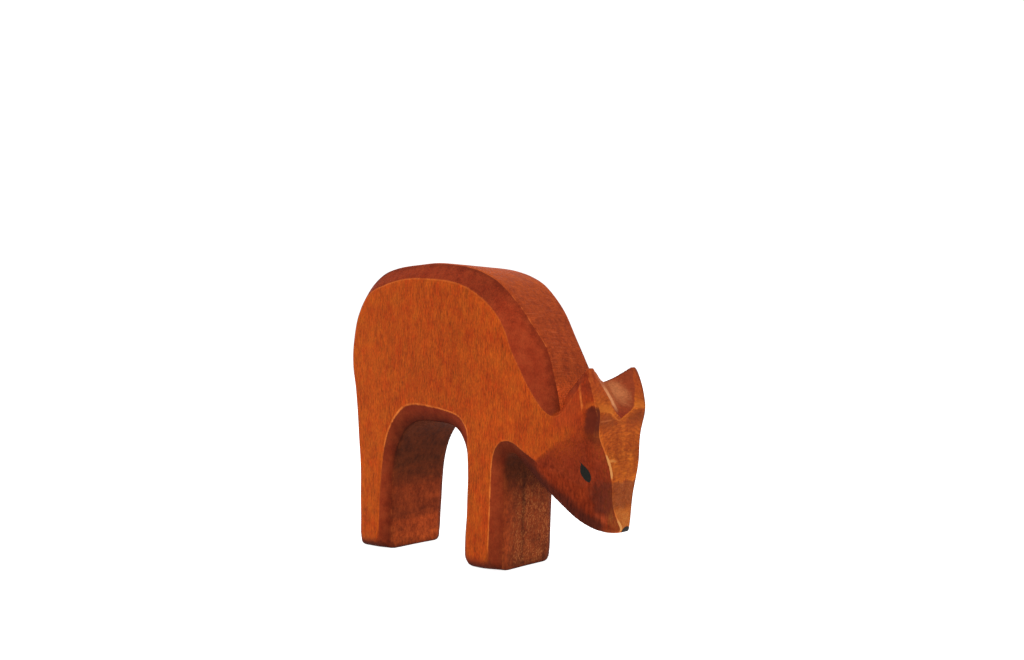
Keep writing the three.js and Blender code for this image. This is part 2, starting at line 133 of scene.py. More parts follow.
NOTCH = np.array([
    [58, 46.4, 12.4, 12.6, 0.1],
    [56, 44.6, 10.4, 10.5, 0.1],
    [54.75, 43.55, 8.0, 8.6, 0.1],
    [54.1, 43, 6.1, 7.9, 0.1],
    [53.3, 42.35, 4.55, 7.65, 0.1],
    [52.3, 41.55, 2.8, 7.5, 0.15],
    [51.5, 40.91, 1.3, 7.35, 0.2],
    [50.9, 40.87, 0.05, 7.2, 0.3],
    [50, 41.48, 0.05, 6.9, 0.45],
    [48.7, 42.37, 0.05, 6.25, 0.6],
    [46.5, 43.88, 0.05, 5.25, 0.6],
    [45.4, 44.63, 0.05, 4.8, 0.3],
    [44.2, 45.45, 0.05, 3.75, 0],
    [43.4, 45.97, 0.05, 2.65, -0.4],
    [42.6, 46.46, 0.05, 1.65, -0.75],
    [42, 46.82, 0.05, 0.9, -0.95],
    [41.4, 47.14, 0.05, 0.35, -1],
])

# Colour along the outline: stain, with painted shade in the dark rows under the jaw, the throat and the belly arch.
# Each row is a station, then how light, how amber and how red the sawn face is, how light the chamfer is, and how worn
# its edges at the flank and at the sawn face are.
STAIN = np.array([
    [0, 0.25, 0.1, 0.2, 0.6, 0.1, 0.1],
    [3, 0.8, 0.1, 0.2, 0.9, 0.1, 0.3],
    [8, 0.85, 0.2, 0.3, 0.95, 0.2, 0.3],
    [14, 0.95, 0.3, 0.3, 0.78, 0.35, 0.3],
    [18, 1.0, 0.35, 0.25, 0.8, 0.5, 0.3],
    [21, 1.0, 0.35, 0.25, 0.92, 0.45, 0.3],
    [24, 1.0, 0.35, 0.25, 0.86, 0.4, 0.3],
    [27, 0.85, 0.4, 0.35, 0.76, 0.2, 0.2],
    [28.2, 0.7, 0.42, 0.45, 0.86, 0.2, 0.35],
    [29.3, 0.6, 0.45, 0.55, 1.1, 0.2, 0.5],
    [32, 0.6, 0.4, 0.6, 1.1, 0.2, 0.9],
    [35, 0.75, 0.35, 0.5, 1.02, 0.2, 0.5],
    [38, 0.7, 0.35, 0.5, 0.9, 0.2, 0.1],
    [40, 0.2, 0.3, 0.5, 0.8, 0.1, 0],
    [44, 0.1, 0.3, 0.5, 0.9, 0.15, 0],
    [46, 0.6, 1, 0, 1.05, 0.5, 0.3],
    [50, 0.62, 1, 0, 1, 0.9, 0.4],
    [53, 0.55, 1, 0.05, 1, 0.5, 0],
    [55, 0.6, 0.95, 0.1, 1, 0.3, 0],
    [58, 0.72, 1, 0, 1, 0, 0],
    [62, 0.8, 1, 0, 0.9, 0, 0],
    [64, 0.3, 0.3, 0.5, 0.8, 0, 0],
    [66, 0.15, 0.1, 0.5, 0.7, 0, 0],
    [70, 0.1, 0.1, 0.4, 0.6, 0, 0],
    [73, 0.05, 0.1, 0.4, 0.46, 0, 0],
    [75, 0, 0.1, 0.3, 0.4, 0.1, 0],
    [78, 0, 0.1, 0.2, 0.5, 0.5, 0],
    [79, 0.05, 0, 0.1, 0.8, 0.8, 0.1],
    [80, 0.3, 0, 0, 1.0, 1, 0.1],
    [81, 0.85, 0, 0.1, 1.0, 1, 0.2],
    [83, 0.95, 0.05, 0.15, 0.88, 1, 0.3],
    [84, 0.75, 0.05, 0.15, 0.9, 0.6, 0.3],
    [85, 0.55, 0.05, 0.15, 0.7, 0.1, 0.3],
    [86, 0.25, 0, 0.2, 0.55, 0, 0.1],
    [89, 0.3, 0, 0.2, 0.6, 0.1, 0.1],
    [92, 0.8, 0.05, 0.15, 0.95, 0.6, 0.3],
    [95, 0.6, 0, 0.1, 0.97, 0.6, 0.2],
    [98, 0.2, 0, 0.1, 0.8, 0.7, 0.1],
    [101, 0.1, 0, 0.1, 0.6, 0.9, 0.1],
    [104, 0.1, 0, 0.1, 0.56, 0.6, 0.1],
    [107, 0.08, 0, 0.1, 0.56, 1.1, 0.15],
    [109, 0.08, 0, 0.1, 0.66, 0.7, 0.15],
    [110, 0.14, 0, 0, 0.8, 0.3, 0.15],
    [111.2, 0.22, 0, 0.1, 0.92, 0.15, 0.2],
    [111.9, 0.5, 0, 0.25, 0.95, 0.15, 0.2],
    [113, 0.5, 0, 0.2, 0.95, 0.1, 0.2],
    [113.4, 0.4, 0, 0.2, 0.95, 0.1, 0.2],
    [114, 0.8, 0.05, 0.15, 0.95, 0.1, 0.2],
    [115.5, 0.85, 0.1, 0.1, 0.85, 0.05, 0.2],
    [117, 0.3, 0, 0.2, 0.6, 0.05, 0.1],
])
# X and Z round the dark patch on the cheek
PATCH = np.array([
    (45.95, 45.45), (46.63, 44.9), (48, 43.4), (48, 35), (45.6, 34.6), (44, 35.8), (43.4, 37.4),
    (43.4, 38.7), (43.72, 40.4), (44.14, 42.45), (44.67, 44.3), (45.4, 45.25),
])
# Z and how pale the rim between the cheek and the front of the head is
RIM = np.array([
    (13, 0.1), (13.7, 1), (15, 1.2), (16.5, 0.8), (18.7, 0.5), (19.6, 0.1), (26, 0.1), (26.8, 0.6), (28, 1.2),
    (30.5, 1.35), (32.4, 1.05), (33.5, 0.62), (36, 0.55), (38.7, 0.4), (40.5, 0.15), (44.5, 0.1), (54, 0.1),
])
# Y and Z of the ridge under the ears
RIDGE = np.array([
    (-11, 43.9), (-9.42, 43.85), (-7.6, 43.77), (-5.56, 43.47), (-2.91, 41.71), (-1.39, 41.25), (0.77, 42.33),
    (3.29, 43.68), (5.14, 44.63), (6.9, 44.3), (9.8, 44), (11, 43.9),
])
# the painted eye: how far along it from -1 at the bottom, and its extents forward and backward of its axis
EYE = np.array([
    (-1.25, -0.8, -0.8), (-1.0, -0.05, 0.1), (-0.93, 0.08, 0.4), (-0.85, 0.45, 0.65), (-0.72, 0.75, 0.96),
    (-0.51, 1.02, 1.15), (-0.24, 1.17, 1.24), (0.01, 1.16, 1.16), (0.21, 1.0, 0.82), (0.44, 0.74, 0.46),
    (0.61, 0.52, 0.02), (0.72, 0.4, -0.06), (0.83, 0.26, -0.02), (0.97, 0.12, 0.02), (1.06, 0.02, 0.02), (1.3, -0.6, -0.6),
])

# ---------------------------------------------------------------- curves and fields


def ring(columns, per=6):
    """The closed uniform Catmull-Rom curve through the stations, with per points to a station."""
    p = STATIONS[:, columns]
    a, b, c, d = (np.roll(p, k, 0)[:, None, :] for k in (1, 0, -1, -2))
    t = (np.arange(per) / per)[None, :, None]
    m, n = (c - a) / 2, (d - b) / 2
    q = (2 * b - 2 * c + m + n) * t**3 + (3 * c - 3 * b - 2 * m - n) * t**2 + m * t + b
    return q.reshape(-1, len(columns))


def table(rows, step=0.1, soften=0.7):
    """The columns of a table over Z, densely sampled and slightly rounded between its rows."""
    rows = rows[np.argsort(rows[:, 0])]
    z = np.arange(rows[0, 0], rows[-1, 0] + step / 2, step)
    out = [z]
    reach = int(3 * soften / step)
    kernel = np.exp(-0.5 * (np.arange(-reach, reach + 1) * step / soften) ** 2)
    kernel /= kernel.sum()
    for k in range(1, rows.shape[1]):
        v = np.interp(z, rows[:, 0], rows[:, k])
        left = v[0] + (v[0] - v[1 : reach + 1])[::-1]
        right = v[-1] + (v[-1] - v[-reach - 1 : -1])[::-1]
        out.append(np.convolve(np.concatenate([left, v, right]), kernel, "valid"))
    return out


def distances(curve, xs, zs):
    """On a lattice, the signed distance to a closed XZ curve, negative inside, and where along it the nearest point is."""
    gx, gz = np.meshgrid(xs, zs, indexing="ij")
    points = np.stack([gx.ravel(), gz.ravel()], 1).astype(np.float32)
    a = curve[:, :2].astype(np.float32)
    b = np.roll(a, -1, 0)
    e = b - a
    length = np.maximum((e**2).sum(1), 1e-9)
    dist, where = np.empty(len(points), np.float32), np.empty(len(points), np.float32)
    rise = np.where(np.abs(e[:, 1]) < 1e-9, 1e-9, e[:, 1])
    for i in range(0, len(points), 6000):
        p = points[i : i + 6000]
        vx, vz = p[:, :1] - a[:, 0], p[:, 1:] - a[:, 1]
        t = np.clip((vx * e[:, 0] + vz * e[:, 1]) / length, 0, 1)
        d2 = (vx - t * e[:, 0]) ** 2 + (vz - t * e[:, 1]) ** 2
        k = d2.argmin(1)
        rows = np.arange(len(p))
        crossings = ((a[:, 1] > p[:, 1:]) != (b[:, 1] > p[:, 1:])) & (vx < vz * e[:, 0] / rise)
        sign = np.where(crossings.sum(1) % 2 == 1, -1, 1)
        dist[i : i + 6000] = np.sqrt(d2[rows, k]) * sign
        where[i : i + 6000] = k + t[rows, k]
    return dist.reshape(gx.shape), where.reshape(gx.shape)


SAWN = ring([0, 1, 4])
SAWN[:, 1] = np.maximum(SAWN[:, 1], 0)
FLANK = ring([2, 3])
PITCH = GRID / 2
XS = np.arange(-49.5, 49.6, PITCH)
ZS = np.arange(-1.8, 86.5, PITCH)
TO_SAWN, ALONG = distances(SAWN, XS, ZS)
TO_FLANK, _ = distances(FLANK, XS, ZS)
HALF_AT_SAWN = np.interp(ALONG.ravel(), np.arange(len(SAWN) + 1), np.append(SAWN[:, 2], SAWN[0, 2])).reshape(ALONG.shape)
FRONT_Z, FRONT_X, FRONT_W, FRONT_K1, FRONT_K2 = table(FRONT)
NOTCH_Z, NOTCH_X, NOTCH_BACK, NOTCH_FRONT, NOTCH_Y = table(NOTCH, soften=0.4)


def sample(field, x, z):
    """Bilinear sample of a lattice field."""
    i = np.clip((x - XS[0]) / PITCH, 0, len(XS) - 1.001)
    j = np.clip((z - ZS[0]) / PITCH, 0, len(ZS) - 1.001)
    i0, j0 = i.astype(int), j.astype(int)
    fi, fj = i - i0, j - j0
    return (
        field[i0, j0] * (1 - fi) * (1 - fj)
        + field[i0 + 1, j0] * fi * (1 - fj)
        + field[i0, j0 + 1] * (1 - fi) * fj
        + field[i0 + 1, j0 + 1] * fi * fj
    )


def cuts(x, y, z, sawn=None, flank=None, half_sawn=None):
    """How far a point lies outside each cut: sawn edge, flank, carved chamfer, cheek and ear notch."""
    if sawn is None:
        sawn, flank, half_sawn = sample(TO_SAWN, x, z), sample(TO_FLANK, x, z), sample(HALF_AT_SAWN, x, z)
    ay, half = np.abs(y), THICKNESS / 2
    band = np.maximum(flank - sawn, 1.0)
    chamfer = half - (half - half_sawn) * np.clip(flank / band, -1.5, 1.7)
    c_chamfer = (ay - chamfer) / np.sqrt(1 + ((half - half_sawn) / band) ** 2)
    u = np.interp(z, FRONT_Z, FRONT_X) - x
    k1, k2 = np.interp(z, FRONT_Z, FRONT_K1), np.interp(z, FRONT_Z, FRONT_K2)
    # the steep first part of the cheek turns gently into the part behind it
    bend = np.logaddexp(0, (u - 2.4) / 0.45) * 0.45
    width = np.interp(z, FRONT_Z, FRONT_W) + k1 * u + (k2 - k1) * bend
    c_cheek = (ay - np.maximum(width, 0.7)) / np.sqrt(1 + k2**2)
    nx, nb, nf, ny = (np.interp(z, NOTCH_Z, v) for v in (NOTCH_X, NOTCH_BACK, NOTCH_FRONT, NOTCH_Y))
    reach = np.maximum(1.0, np.interp(z, FRONT_Z, FRONT_X) - nx)
    slope = np.maximum((nf - nb) / reach, 1.0)
    below = np.maximum(0, 41.4 - z)
    wall = nb + slope * (x - nx - 1.5 * below)
    rounded = np.sqrt((y - ny) ** 2 + 0.3**2) - 0.1
    c_notch = (wall - rounded) / np.sqrt(1 + slope**2)
    # the tips of the ears are rounded off
    off = np.clip(ay - 8.9, -2, 4)
    tip = z - 54.8 + 0.17 * off**2
    sawn = np.where((z > 50) & (x > 36.5), np.maximum(sawn, 0.9 * tip / np.sqrt(1 + (0.34 * off) ** 2)), sawn)
    return sawn, ay - half, c_chamfer, c_cheek, c_notch


def smooth_max(a, b, k):
    h = np.maximum(k - np.abs(a - b), 0) / k
    return np.maximum(a, b) + h * h * k / 4


def wobble(x, y, z, scale, seed):
    """A smooth, repeatable unevenness between -1 and 1."""
    rng = np.random.default_rng(seed)
    total = 0
    for _ in range(5):
        direction = rng.normal(size=3)
        direction /= np.linalg.norm(direction) * scale * rng.uniform(0.6, 1.6)
        total = total + np.sin(x * direction[0] + y * direction[1] + z * direction[2] + rng.uniform(0, 6.3))
    return total / 3


def wood(x, y, z, **fields):
    """Negative inside the carved body."""
    saw, side, chamfer, cheek, notch = cuts(x, y, z, **fields)
    ears = np.clip((x - 35) / 4, 0, 1) * np.clip((z - 44) / 4, 0, 1)
    k = (0.85 + 0.3 * wobble(x, y, z, 3.2, 4)) * (1 - 0.25 * ears)
    # the edges of the legs are rounder, most of all at the feet
    legs = 1 + 0.6 * np.clip((34 - z) / 10, 0, 1) * (x < 20)
    f = smooth_max(saw, chamfer, k * (legs + np.where(x > -20, 0.9, 0.2) * np.clip((3.2 - z) / 3.2, 0, 1)))
    f = smooth_max(f, side, k)
    f = smooth_max(f, cheek, 0.8 * k)
    f = smooth_max(f, notch, 0.5 * k + 0.45 * ears)
    return f + 0.035 * wobble(x, y, z, 2.4, 7)


def smallest_step(f, p, eps=0.06):
    """Moves points onto the surface where f is nought."""
    for _ in range(3):
        value = f(p[:, 0], p[:, 1], p[:, 2])
        grad = np.empty_like(p)
        for k in range(3):
            q, r = p.copy(), p.copy()
            q[:, k] += eps
            r[:, k] -= eps
            grad[:, k] = (f(q[:, 0], q[:, 1], q[:, 2]) - f(r[:, 0], r[:, 1], r[:, 2])) / (2 * eps)
        size = np.maximum((grad**2).sum(1), 0.25)
        step = value / size
        step = np.clip(step, -0.2, 0.2)
        p = p - grad * step[:, None]
    return p


def surface(values, origin, step):
    """Surface net of a sampled field: points in cells that the surface crosses, and quads round crossed edges."""
    inside = values < 0
    count = sum(
        inside[i : values.shape[0] - 1 + i, j : values.shape[1] - 1 + j, k : values.shape[2] - 1 + k].astype(np.int8)
        for i in (0, 1)
        for j in (0, 1)
        for k in (0, 1)
    )
    active = (count > 0) & (count < 8)
    cells = np.argwhere(active)
    ids = np.full(active.shape, -1, np.int64)
    ids[active] = np.arange(len(cells))
    total, crossed = np.zeros((len(cells), 3)), np.zeros(len(cells))
    corners = np.array([(i, j, k) for i in (0, 1) for j in (0, 1) for k in (0, 1)])
    for a in corners:
        for axis in range(3):
            if a[axis]:
                continue
            b = a.copy()
            b[axis] = 1
            va = values[tuple((cells + a).T)]
            vb = values[tuple((cells + b).T)]
            cut = (va < 0) != (vb < 0)
            t = np.where(cut, va / np.where(cut, va - vb, 1), 0)
            total[cut] += a + t[cut, None] * (b - a)
            crossed[cut] += 1
    points = np.asarray(origin) + (cells + total / crossed[:, None]) * step
    quads = []
    for axis in range(3):
        u, v = (axis + 1) % 3, (axis + 2) % 3
        low = [slice(None)] * 3
        high = [slice(None)] * 3
        low[axis], high[axis] = slice(0, -1), slice(1, None)
        change = inside[tuple(low)] != inside[tuple(high)]
        edges = np.argwhere(change)
        edges = edges[(edges[:, u] > 0) & (edges[:, v] > 0) & (edges[:, u] < values.shape[u] - 1) & (edges[:, v] < values.shape[v] - 1)]
        du, dv = np.zeros(3, int), np.zeros(3, int)
        du[u] = dv[v] = 1
        q = np.stack([ids[tuple((edges - o).T)] for o in (0 * du, du, du + dv, dv)], 1)
        enters = ~inside[tuple(edges.T)]
        q[enters] = q[enters][:, ::-1]
        quads.append(q)
    return points, np.concatenate(quads)


def make_object(name, points, quads, body="root"):
    mesh = bpy.data.meshes.new(name)
    mesh.vertices.add(len(points))
    mesh.vertices.foreach_set("co", (points / 1000).astype(np.float32).ravel())
    mesh.loops.add(quads.size)
    mesh.loops.foreach_set("vertex_index", quads.astype(np.int32).ravel())
    mesh.polygons.add(len(quads))
    mesh.polygons.foreach_set("loop_start", np.arange(0, quads.size, 4, dtype=np.int32))
    mesh.polygons.foreach_set("use_smooth", np.ones(len(quads), bool))
    mesh.update(calc_edges=True)
    mesh.validate()
    piece = bpy.data.objects.new(name, mesh)
    bpy.context.scene.collection.objects.link(piece)
    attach(piece, body)
    return piece


def attribute(piece, name, values):
    layer = piece.data.attributes.new(name, "FLOAT", "POINT")
    layer.data.foreach_set("value", values.astype(np.float32))


# ---------------------------------------------------------------- the carved body

ys = np.arange(-14.4, 14.41, GRID)
gx, gy, gz = np.meshgrid(XS[::2], ys, ZS[::2], indexing="ij")
lattice = {
    key: np.broadcast_to(field[::2, ::2][:, None, :], gx.shape)
    for key, field in (("sawn", TO_SAWN), ("flank", TO_FLANK), ("half_sawn", HALF_AT_SAWN))
}
points, quads = surface(wood(gx, gy, gz, **lattice), (XS[0], ys[0], ZS[0]), GRID)
points = smallest_step(wood, points)
points[:, 2] = np.maximum(points[:, 2], 0)
deer = make_object("deer_body", points, quads)
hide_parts("body")
for name, values in zip(("d_saw", "d_side", "d_chamfer", "d_cheek", "d_notch"), cuts(*points.T)):
    attribute(deer, name, np.clip(-values, -1, 12))


def inside(shape, a, b):
    """Signed distance of the points (a, b) to a closed polygon, negative inside."""
    p = np.stack([a, b], 1)
    best, sign = np.full(len(p), 1e9), np.ones(len(p))
    for q, r in zip(shape, np.roll(shape, -1, 0)):
        e, v = r - q, p - q
        t = np.clip((v @ e) / (e @ e), 0, 1)
        best = np.minimum(best, np.hypot(*(v - t[:, None] * e).T))
        crosses = ((q[1] > b) != (r[1] > b)) & (v[:, 0] < v[:, 1] * e[0] / (e[1] if e[1] else 1e-9))
        sign = np.where(crosses, -sign, sign)
    return best * sign


def fade(value, low, high):
    t = np.clip((value - low) / (high - low), 0, 1)
    return t * t * (3 - 2 * t)


# colour along the outline: stain, with painted shade where it is dark under the jaw, the throat and the belly arch
column = np.clip(np.rint((points[:, 0] - XS[0]) / PITCH).astype(int), 0, len(XS) - 1)
row = np.clip(np.rint((points[:, 2] - ZS[0]) / PITCH).astype(int), 0, len(ZS) - 1)
station = ALONG[column, row] / 6
for k, name in enumerate(("s_light", "s_amber", "s_red", "s_chamfer", "s_edge", "s_worn"), 1):
    attribute(deer, name, np.interp(station, STAIN[:, 0], STAIN[:, k], period=len(STATIONS)))
px, py, pz = points.T
# saw marks on the neck and back follow curves of this coordinate
attribute(deer, "bowed", pz + 0.012 * py**2 + 0.1 * py)
for axis, values in zip("xyz", points.T):
    attribute(deer, "p_" + axis, values)
normals = np.empty(3 * len(points), np.float32)
deer.data.vertex_normals.foreach_get("vector", normals)
attribute(deer, "n_up", np.abs(normals[2::3]))
to_sawn = -sample(TO_SAWN, px, pz)

# the dark patch below each ear, the darker area round the mouth, painted shade under the jaw and along the throat, the
# rim of the cheek and the ridge
attribute(deer, "m_patch", np.clip(inside(PATCH, px, pz), -4, 12))
mouth = 1 - fade(np.hypot((px - 45.9) / 6.2, (pz - 22.0) / 6.4), 0.35, 1.2)
throat_shade = (1 - fade(to_sawn, 1.6, 5.2)) * fade(px, 17, 22) * (1 - fade(pz, 28, 35)) * (1 - fade(px, 42, 46))
attribute(deer, "m_mouth", mouth)
attribute(deer, "m_jaw_shade", throat_shade)
attribute(deer, "m_rim", np.interp(pz + np.where(py > 0, 1.1, 0), RIM[:, 0], RIM[:, 1]) * np.where(py > 0, 0.7, 1))
attribute(deer, "m_ridge", np.clip(pz - np.interp(py, RIDGE[:, 0], RIDGE[:, 1]), -12, 12))


def film(name, region, low, high, node):
    """A coat of paint: the skin of the body inside a region, as a thin closed piece."""
    axes = [np.arange(a, b, FINE) for a, b in zip(low, high)]
    gx, gy, gz = np.meshgrid(*axes, indexing="ij")

    def coat(x, y, z):
        f = wood(x, y, z)
        out = smooth_max(f - 0.05, region(x, y, z), 0.12)
        return np.maximum(out, -(f + 0.4))

    p, q = surface(coat(gx, gy, gz), (axes[0][0], axes[1][0], axes[2][0]), FINE)
    piece = make_object(name, p, q)
    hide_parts(node)
    return piece


def almond(side):
    """The painted eye: an almond in the plane of the board, drawn out to a point at its upper end."""

    def region(x, y, z):
        dx, dz = x - EYE_CENTRE[0], z - EYE_CENTRE[1]
        along = -dx * math.cos(EYE_TILT) + dz * math.sin(EYE_TILT)
        across = dx * math.sin(EYE_TILT) + dz * math.cos(EYE_TILT)
        s = along / (EYE_LENGTH / 2)
        outer = np.interp(s, EYE[:, 0], EYE[:, 1])
        inner = np.interp(s, EYE[:, 0], EYE[:, 2])
        return np.maximum(across - outer, -across - inner) + 0.04 * wobble(x, y, z, 0.5, 11 + side)

    return region


eyes = []
for side, node in ((-1, "eye_right"), (1, "eye_left")):
    low = (38.3, -10.8 if side < 0 else 5.2, 24.9)
    high = (43.8, -5.2 if side < 0 else 10.8, 32.0)
    eyes.append(film("paint_" + node, almond(side), low, high, node))


def snout(x, y, z):
    """The painted end of the nose."""
    r = np.sqrt(((x - 47.6) / 1.7) ** 2 + ((y - 0.35) / 1.75) ** 2 + ((z - 13.5) / 1.15) ** 2)
    return (r - 1) * 1.1 + 0.06 * wobble(x, y, z, 0.6, 21)


nose = film("paint_nose", snout, (45.4, -2.4, 12.4), (48.3, 3.0, 15.6), "nose_tip")

# ---------------------------------------------------------------- node helpers


class Nodes:
    """Builds a material's node tree from expressions."""

    def __init__(self, name):
        self.material = bpy.data.materials.new(name)
        self.material.use_nodes = True
        self.tree = self.material.node_tree
        self.tree.nodes.clear()
        self.out = self.tree.nodes.new("ShaderNodeOutputMaterial")

    def put(self, socket, value):
        if isinstance(value, bpy.types.NodeSocket):
            self.tree.links.new(value, socket)
        else:
            socket.default_value = value

    def math(self, op, a, b=0.0, c=0.0, clamp=False):
        n = self.tree.nodes.new("ShaderNodeMath")
        n.operation, n.use_clamp = op, clamp
        for socket, value in zip(n.inputs, (a, b, c)):
            self.put(socket, value)
        return n.outputs[0]

    def add(self, *values):
        total = values[0]
        for v in values[1:]:
            total = self.math("ADD", total, v)
        return total

    def mul(self, *values):
        total = values[0]
        for v in values[1:]:
            total = self.math("MULTIPLY", total, v)
        return total

    def ease(self, value, low, high, to_low=0.0, to_high=1.0):
        """A smooth step from to_low to to_high as value goes from low to high."""
        n = self.tree.nodes.new("ShaderNodeMapRange")
        n.interpolation_type, n.clamp = "SMOOTHSTEP", False
        for socket, v in zip(n.inputs, (value, low, high, to_low, to_high)):
            self.put(socket, v)
        return n.outputs[0]

    def line(self, value, low, high, to_low=0.0, to_high=1.0):
        """A straight ramp from to_low to to_high as value goes from low to high, level beyond."""
        n = self.tree.nodes.new("ShaderNodeMapRange")
        n.interpolation_type, n.clamp = "LINEAR", False
        for socket, v in zip(n.inputs, (value, low, high)):
            self.put(socket, v)
        ramp = self.tree.nodes.new("ShaderNodeMix")
        ramp.data_type, ramp.clamp_factor = "FLOAT", True
        for socket, v in zip(ramp.inputs, (n.outputs[0], None, to_low, to_high)):
            if v is not None:
                self.put(socket, v)
        return ramp.outputs[0]

    def vector(self, op, a, b=(0, 0, 0)):
        n = self.tree.nodes.new("ShaderNodeVectorMath")
        n.operation = op
        self.put(n.inputs[0], a)
        self.put(n.inputs[1], b)
        return n.outputs[0]

    def split(self, v):
        n = self.tree.nodes.new("ShaderNodeSeparateXYZ")
        self.put(n.inputs[0], v)
        return n.outputs[0], n.outputs[1], n.outputs[2]

    def join(self, x, y, z):
        n = self.tree.nodes.new("ShaderNodeCombineXYZ")
        for socket, v in zip(n.inputs, (x, y, z)):
            self.put(socket, v)
        return n.outputs[0]

    def noise(self, vector, scale=1.0, detail=3.0, roughness=0.5, distortion=0.0, kind="FBM"):
        n = self.tree.nodes.new("ShaderNodeTexNoise")
        n.noise_dimensions = "3D"
        n.noise_type = kind
        n.normalize = True
        self.put(n.inputs["Vector"], vector)
        for key, v in (("Scale", scale), ("Detail", detail), ("Roughness", roughness), ("Distortion", distortion)):
            n.inputs[key].default_value = v
        return n.outputs[0]

    def along(self, vector, w, detail, roughness):
        """Noise whose features follow the lines of equal w."""
        n = self.tree.nodes.new("ShaderNodeTexNoise")
        n.noise_dimensions, n.normalize = "4D", True
        self.put(n.inputs["Vector"], vector)
        self.put(n.inputs["W"], w)
        for key, v in (("Scale", 1.0), ("Detail", detail), ("Roughness", roughness)):
            n.inputs[key].default_value = v
        return n.outputs[0]

    def least(self, *values):
        low = values[0]
        for v in values[1:]:
            low = self.math("MINIMUM", low, v)
        return low

    def uneven(self, scale, detail, roughness, shift=(0, 0, 0)):
        """Noise about nought, mostly between -1 and 1, with its features stretched by axis."""
        q = self.at(scale, tuple(11.3 * s for s in shift))
        return self.math("MULTIPLY", self.math("SUBTRACT", self.noise(q, 1.0, detail, roughness), 0.5), 8.0)

    def scaled(self, colour, factor):
        n = self.tree.nodes.new("ShaderNodeVectorMath")
        n.operation = "SCALE"
        self.put(n.inputs[0], colour[:3] if isinstance(colour, tuple) else colour)
        self.put(n.inputs["Scale"], factor)
        return n.outputs[0]

    def hued(self, colour, value, amount):
        """Shifts a colour towards ochre for a positive value and towards red for a negative one."""
        return self.vector("MULTIPLY", colour[:3] if isinstance(colour, tuple) else colour, self.join(
            self.add(1, self.mul(value, amount * 0.2)), self.add(1, self.mul(value, amount)), self.add(1, self.mul(value, amount * 1.2))))

    def attribute(self, name, output="Fac"):
        n = self.tree.nodes.new("ShaderNodeAttribute")
        n.attribute_name = name
        return n.outputs[output]

    def mix(self, factor, a, b):
        """Mixes two colours, handled as vectors like every other colour here, so that no link converts its type."""
        n = self.tree.nodes.new("ShaderNodeMix")
        n.data_type, n.factor_mode, n.clamp_factor = "VECTOR", "UNIFORM", True
        self.put(n.inputs["Factor"], factor)
        for name, value in (("A", a), ("B", b)):
            socket = [s for s in n.inputs if s.name == name and s.type == "VECTOR"][0]
            self.put(socket, value[:3] if isinstance(value, tuple) else value)
        return [s for s in n.outputs if s.type == "VECTOR"][0]

    def at(self, scale, shift=(0, 0, 0)):
        """Position on the object in millimetres, shifted and then scaled by axis."""
        c = self.tree.nodes.new("ShaderNodeTexCoord")
        n = self.tree.nodes.new("ShaderNodeMapping")
        n.vector_type = "POINT"
        self.put(n.inputs["Vector"], c.outputs["Object"])
        n.inputs["Location"].default_value = tuple(s * k for s, k in zip(shift, scale))
        n.inputs["Scale"].default_value = tuple(1000 * k for k in scale)
        return n.outputs[0]

    def place(self):
        """Position on the object, in millimetres."""
        n = self.tree.nodes.new("ShaderNodeTexCoord")
        return self.vector("MULTIPLY", n.outputs["Object"], (1000, 1000, 1000))

    def bump(self, height, strength, distance, normal=None):
        n = self.tree.nodes.new("ShaderNodeBump")
        n.inputs["Strength"].default_value = strength
        n.inputs["Distance"].default_value = distance
        self.put(n.inputs["Height"], height)
        if normal is not None:
            self.put(n.inputs["Normal"], normal)
        return n.outputs[0]

    def surface(self, colour, roughness, normal=None, specular=0.5, coat=0.0, coat_roughness=0.3, ior=1.5):
        n = self.tree.nodes.new("ShaderNodeBsdfPrincipled")
        self.put(n.inputs["Base Color"], colour)
        self.put(n.inputs["Roughness"], roughness)
        n.inputs["IOR"].default_value = ior
        n.inputs["Specular IOR Level"].default_value = specular
        n.inputs["Coat Weight"].default_value = coat
        n.inputs["Coat Roughness"].default_value = coat_roughness
        if normal is not None:
            self.put(n.inputs["Normal"], normal)
        self.tree.links.new(n.outputs[0], self.out.inputs[0])
        return self.material


def shade(r, g, b):
    """A display colour, 0 to 255, as the linear colour that a shader takes."""
    out = []
    for v in (r, g, b):
        v /= 255
        out.append(v / 12.92 if v <= 0.04045 else ((v + 0.055) / 1.055) ** 2.4)
    return (*out, 1.0)


# ---------------------------------------------------------------- stained hardwood


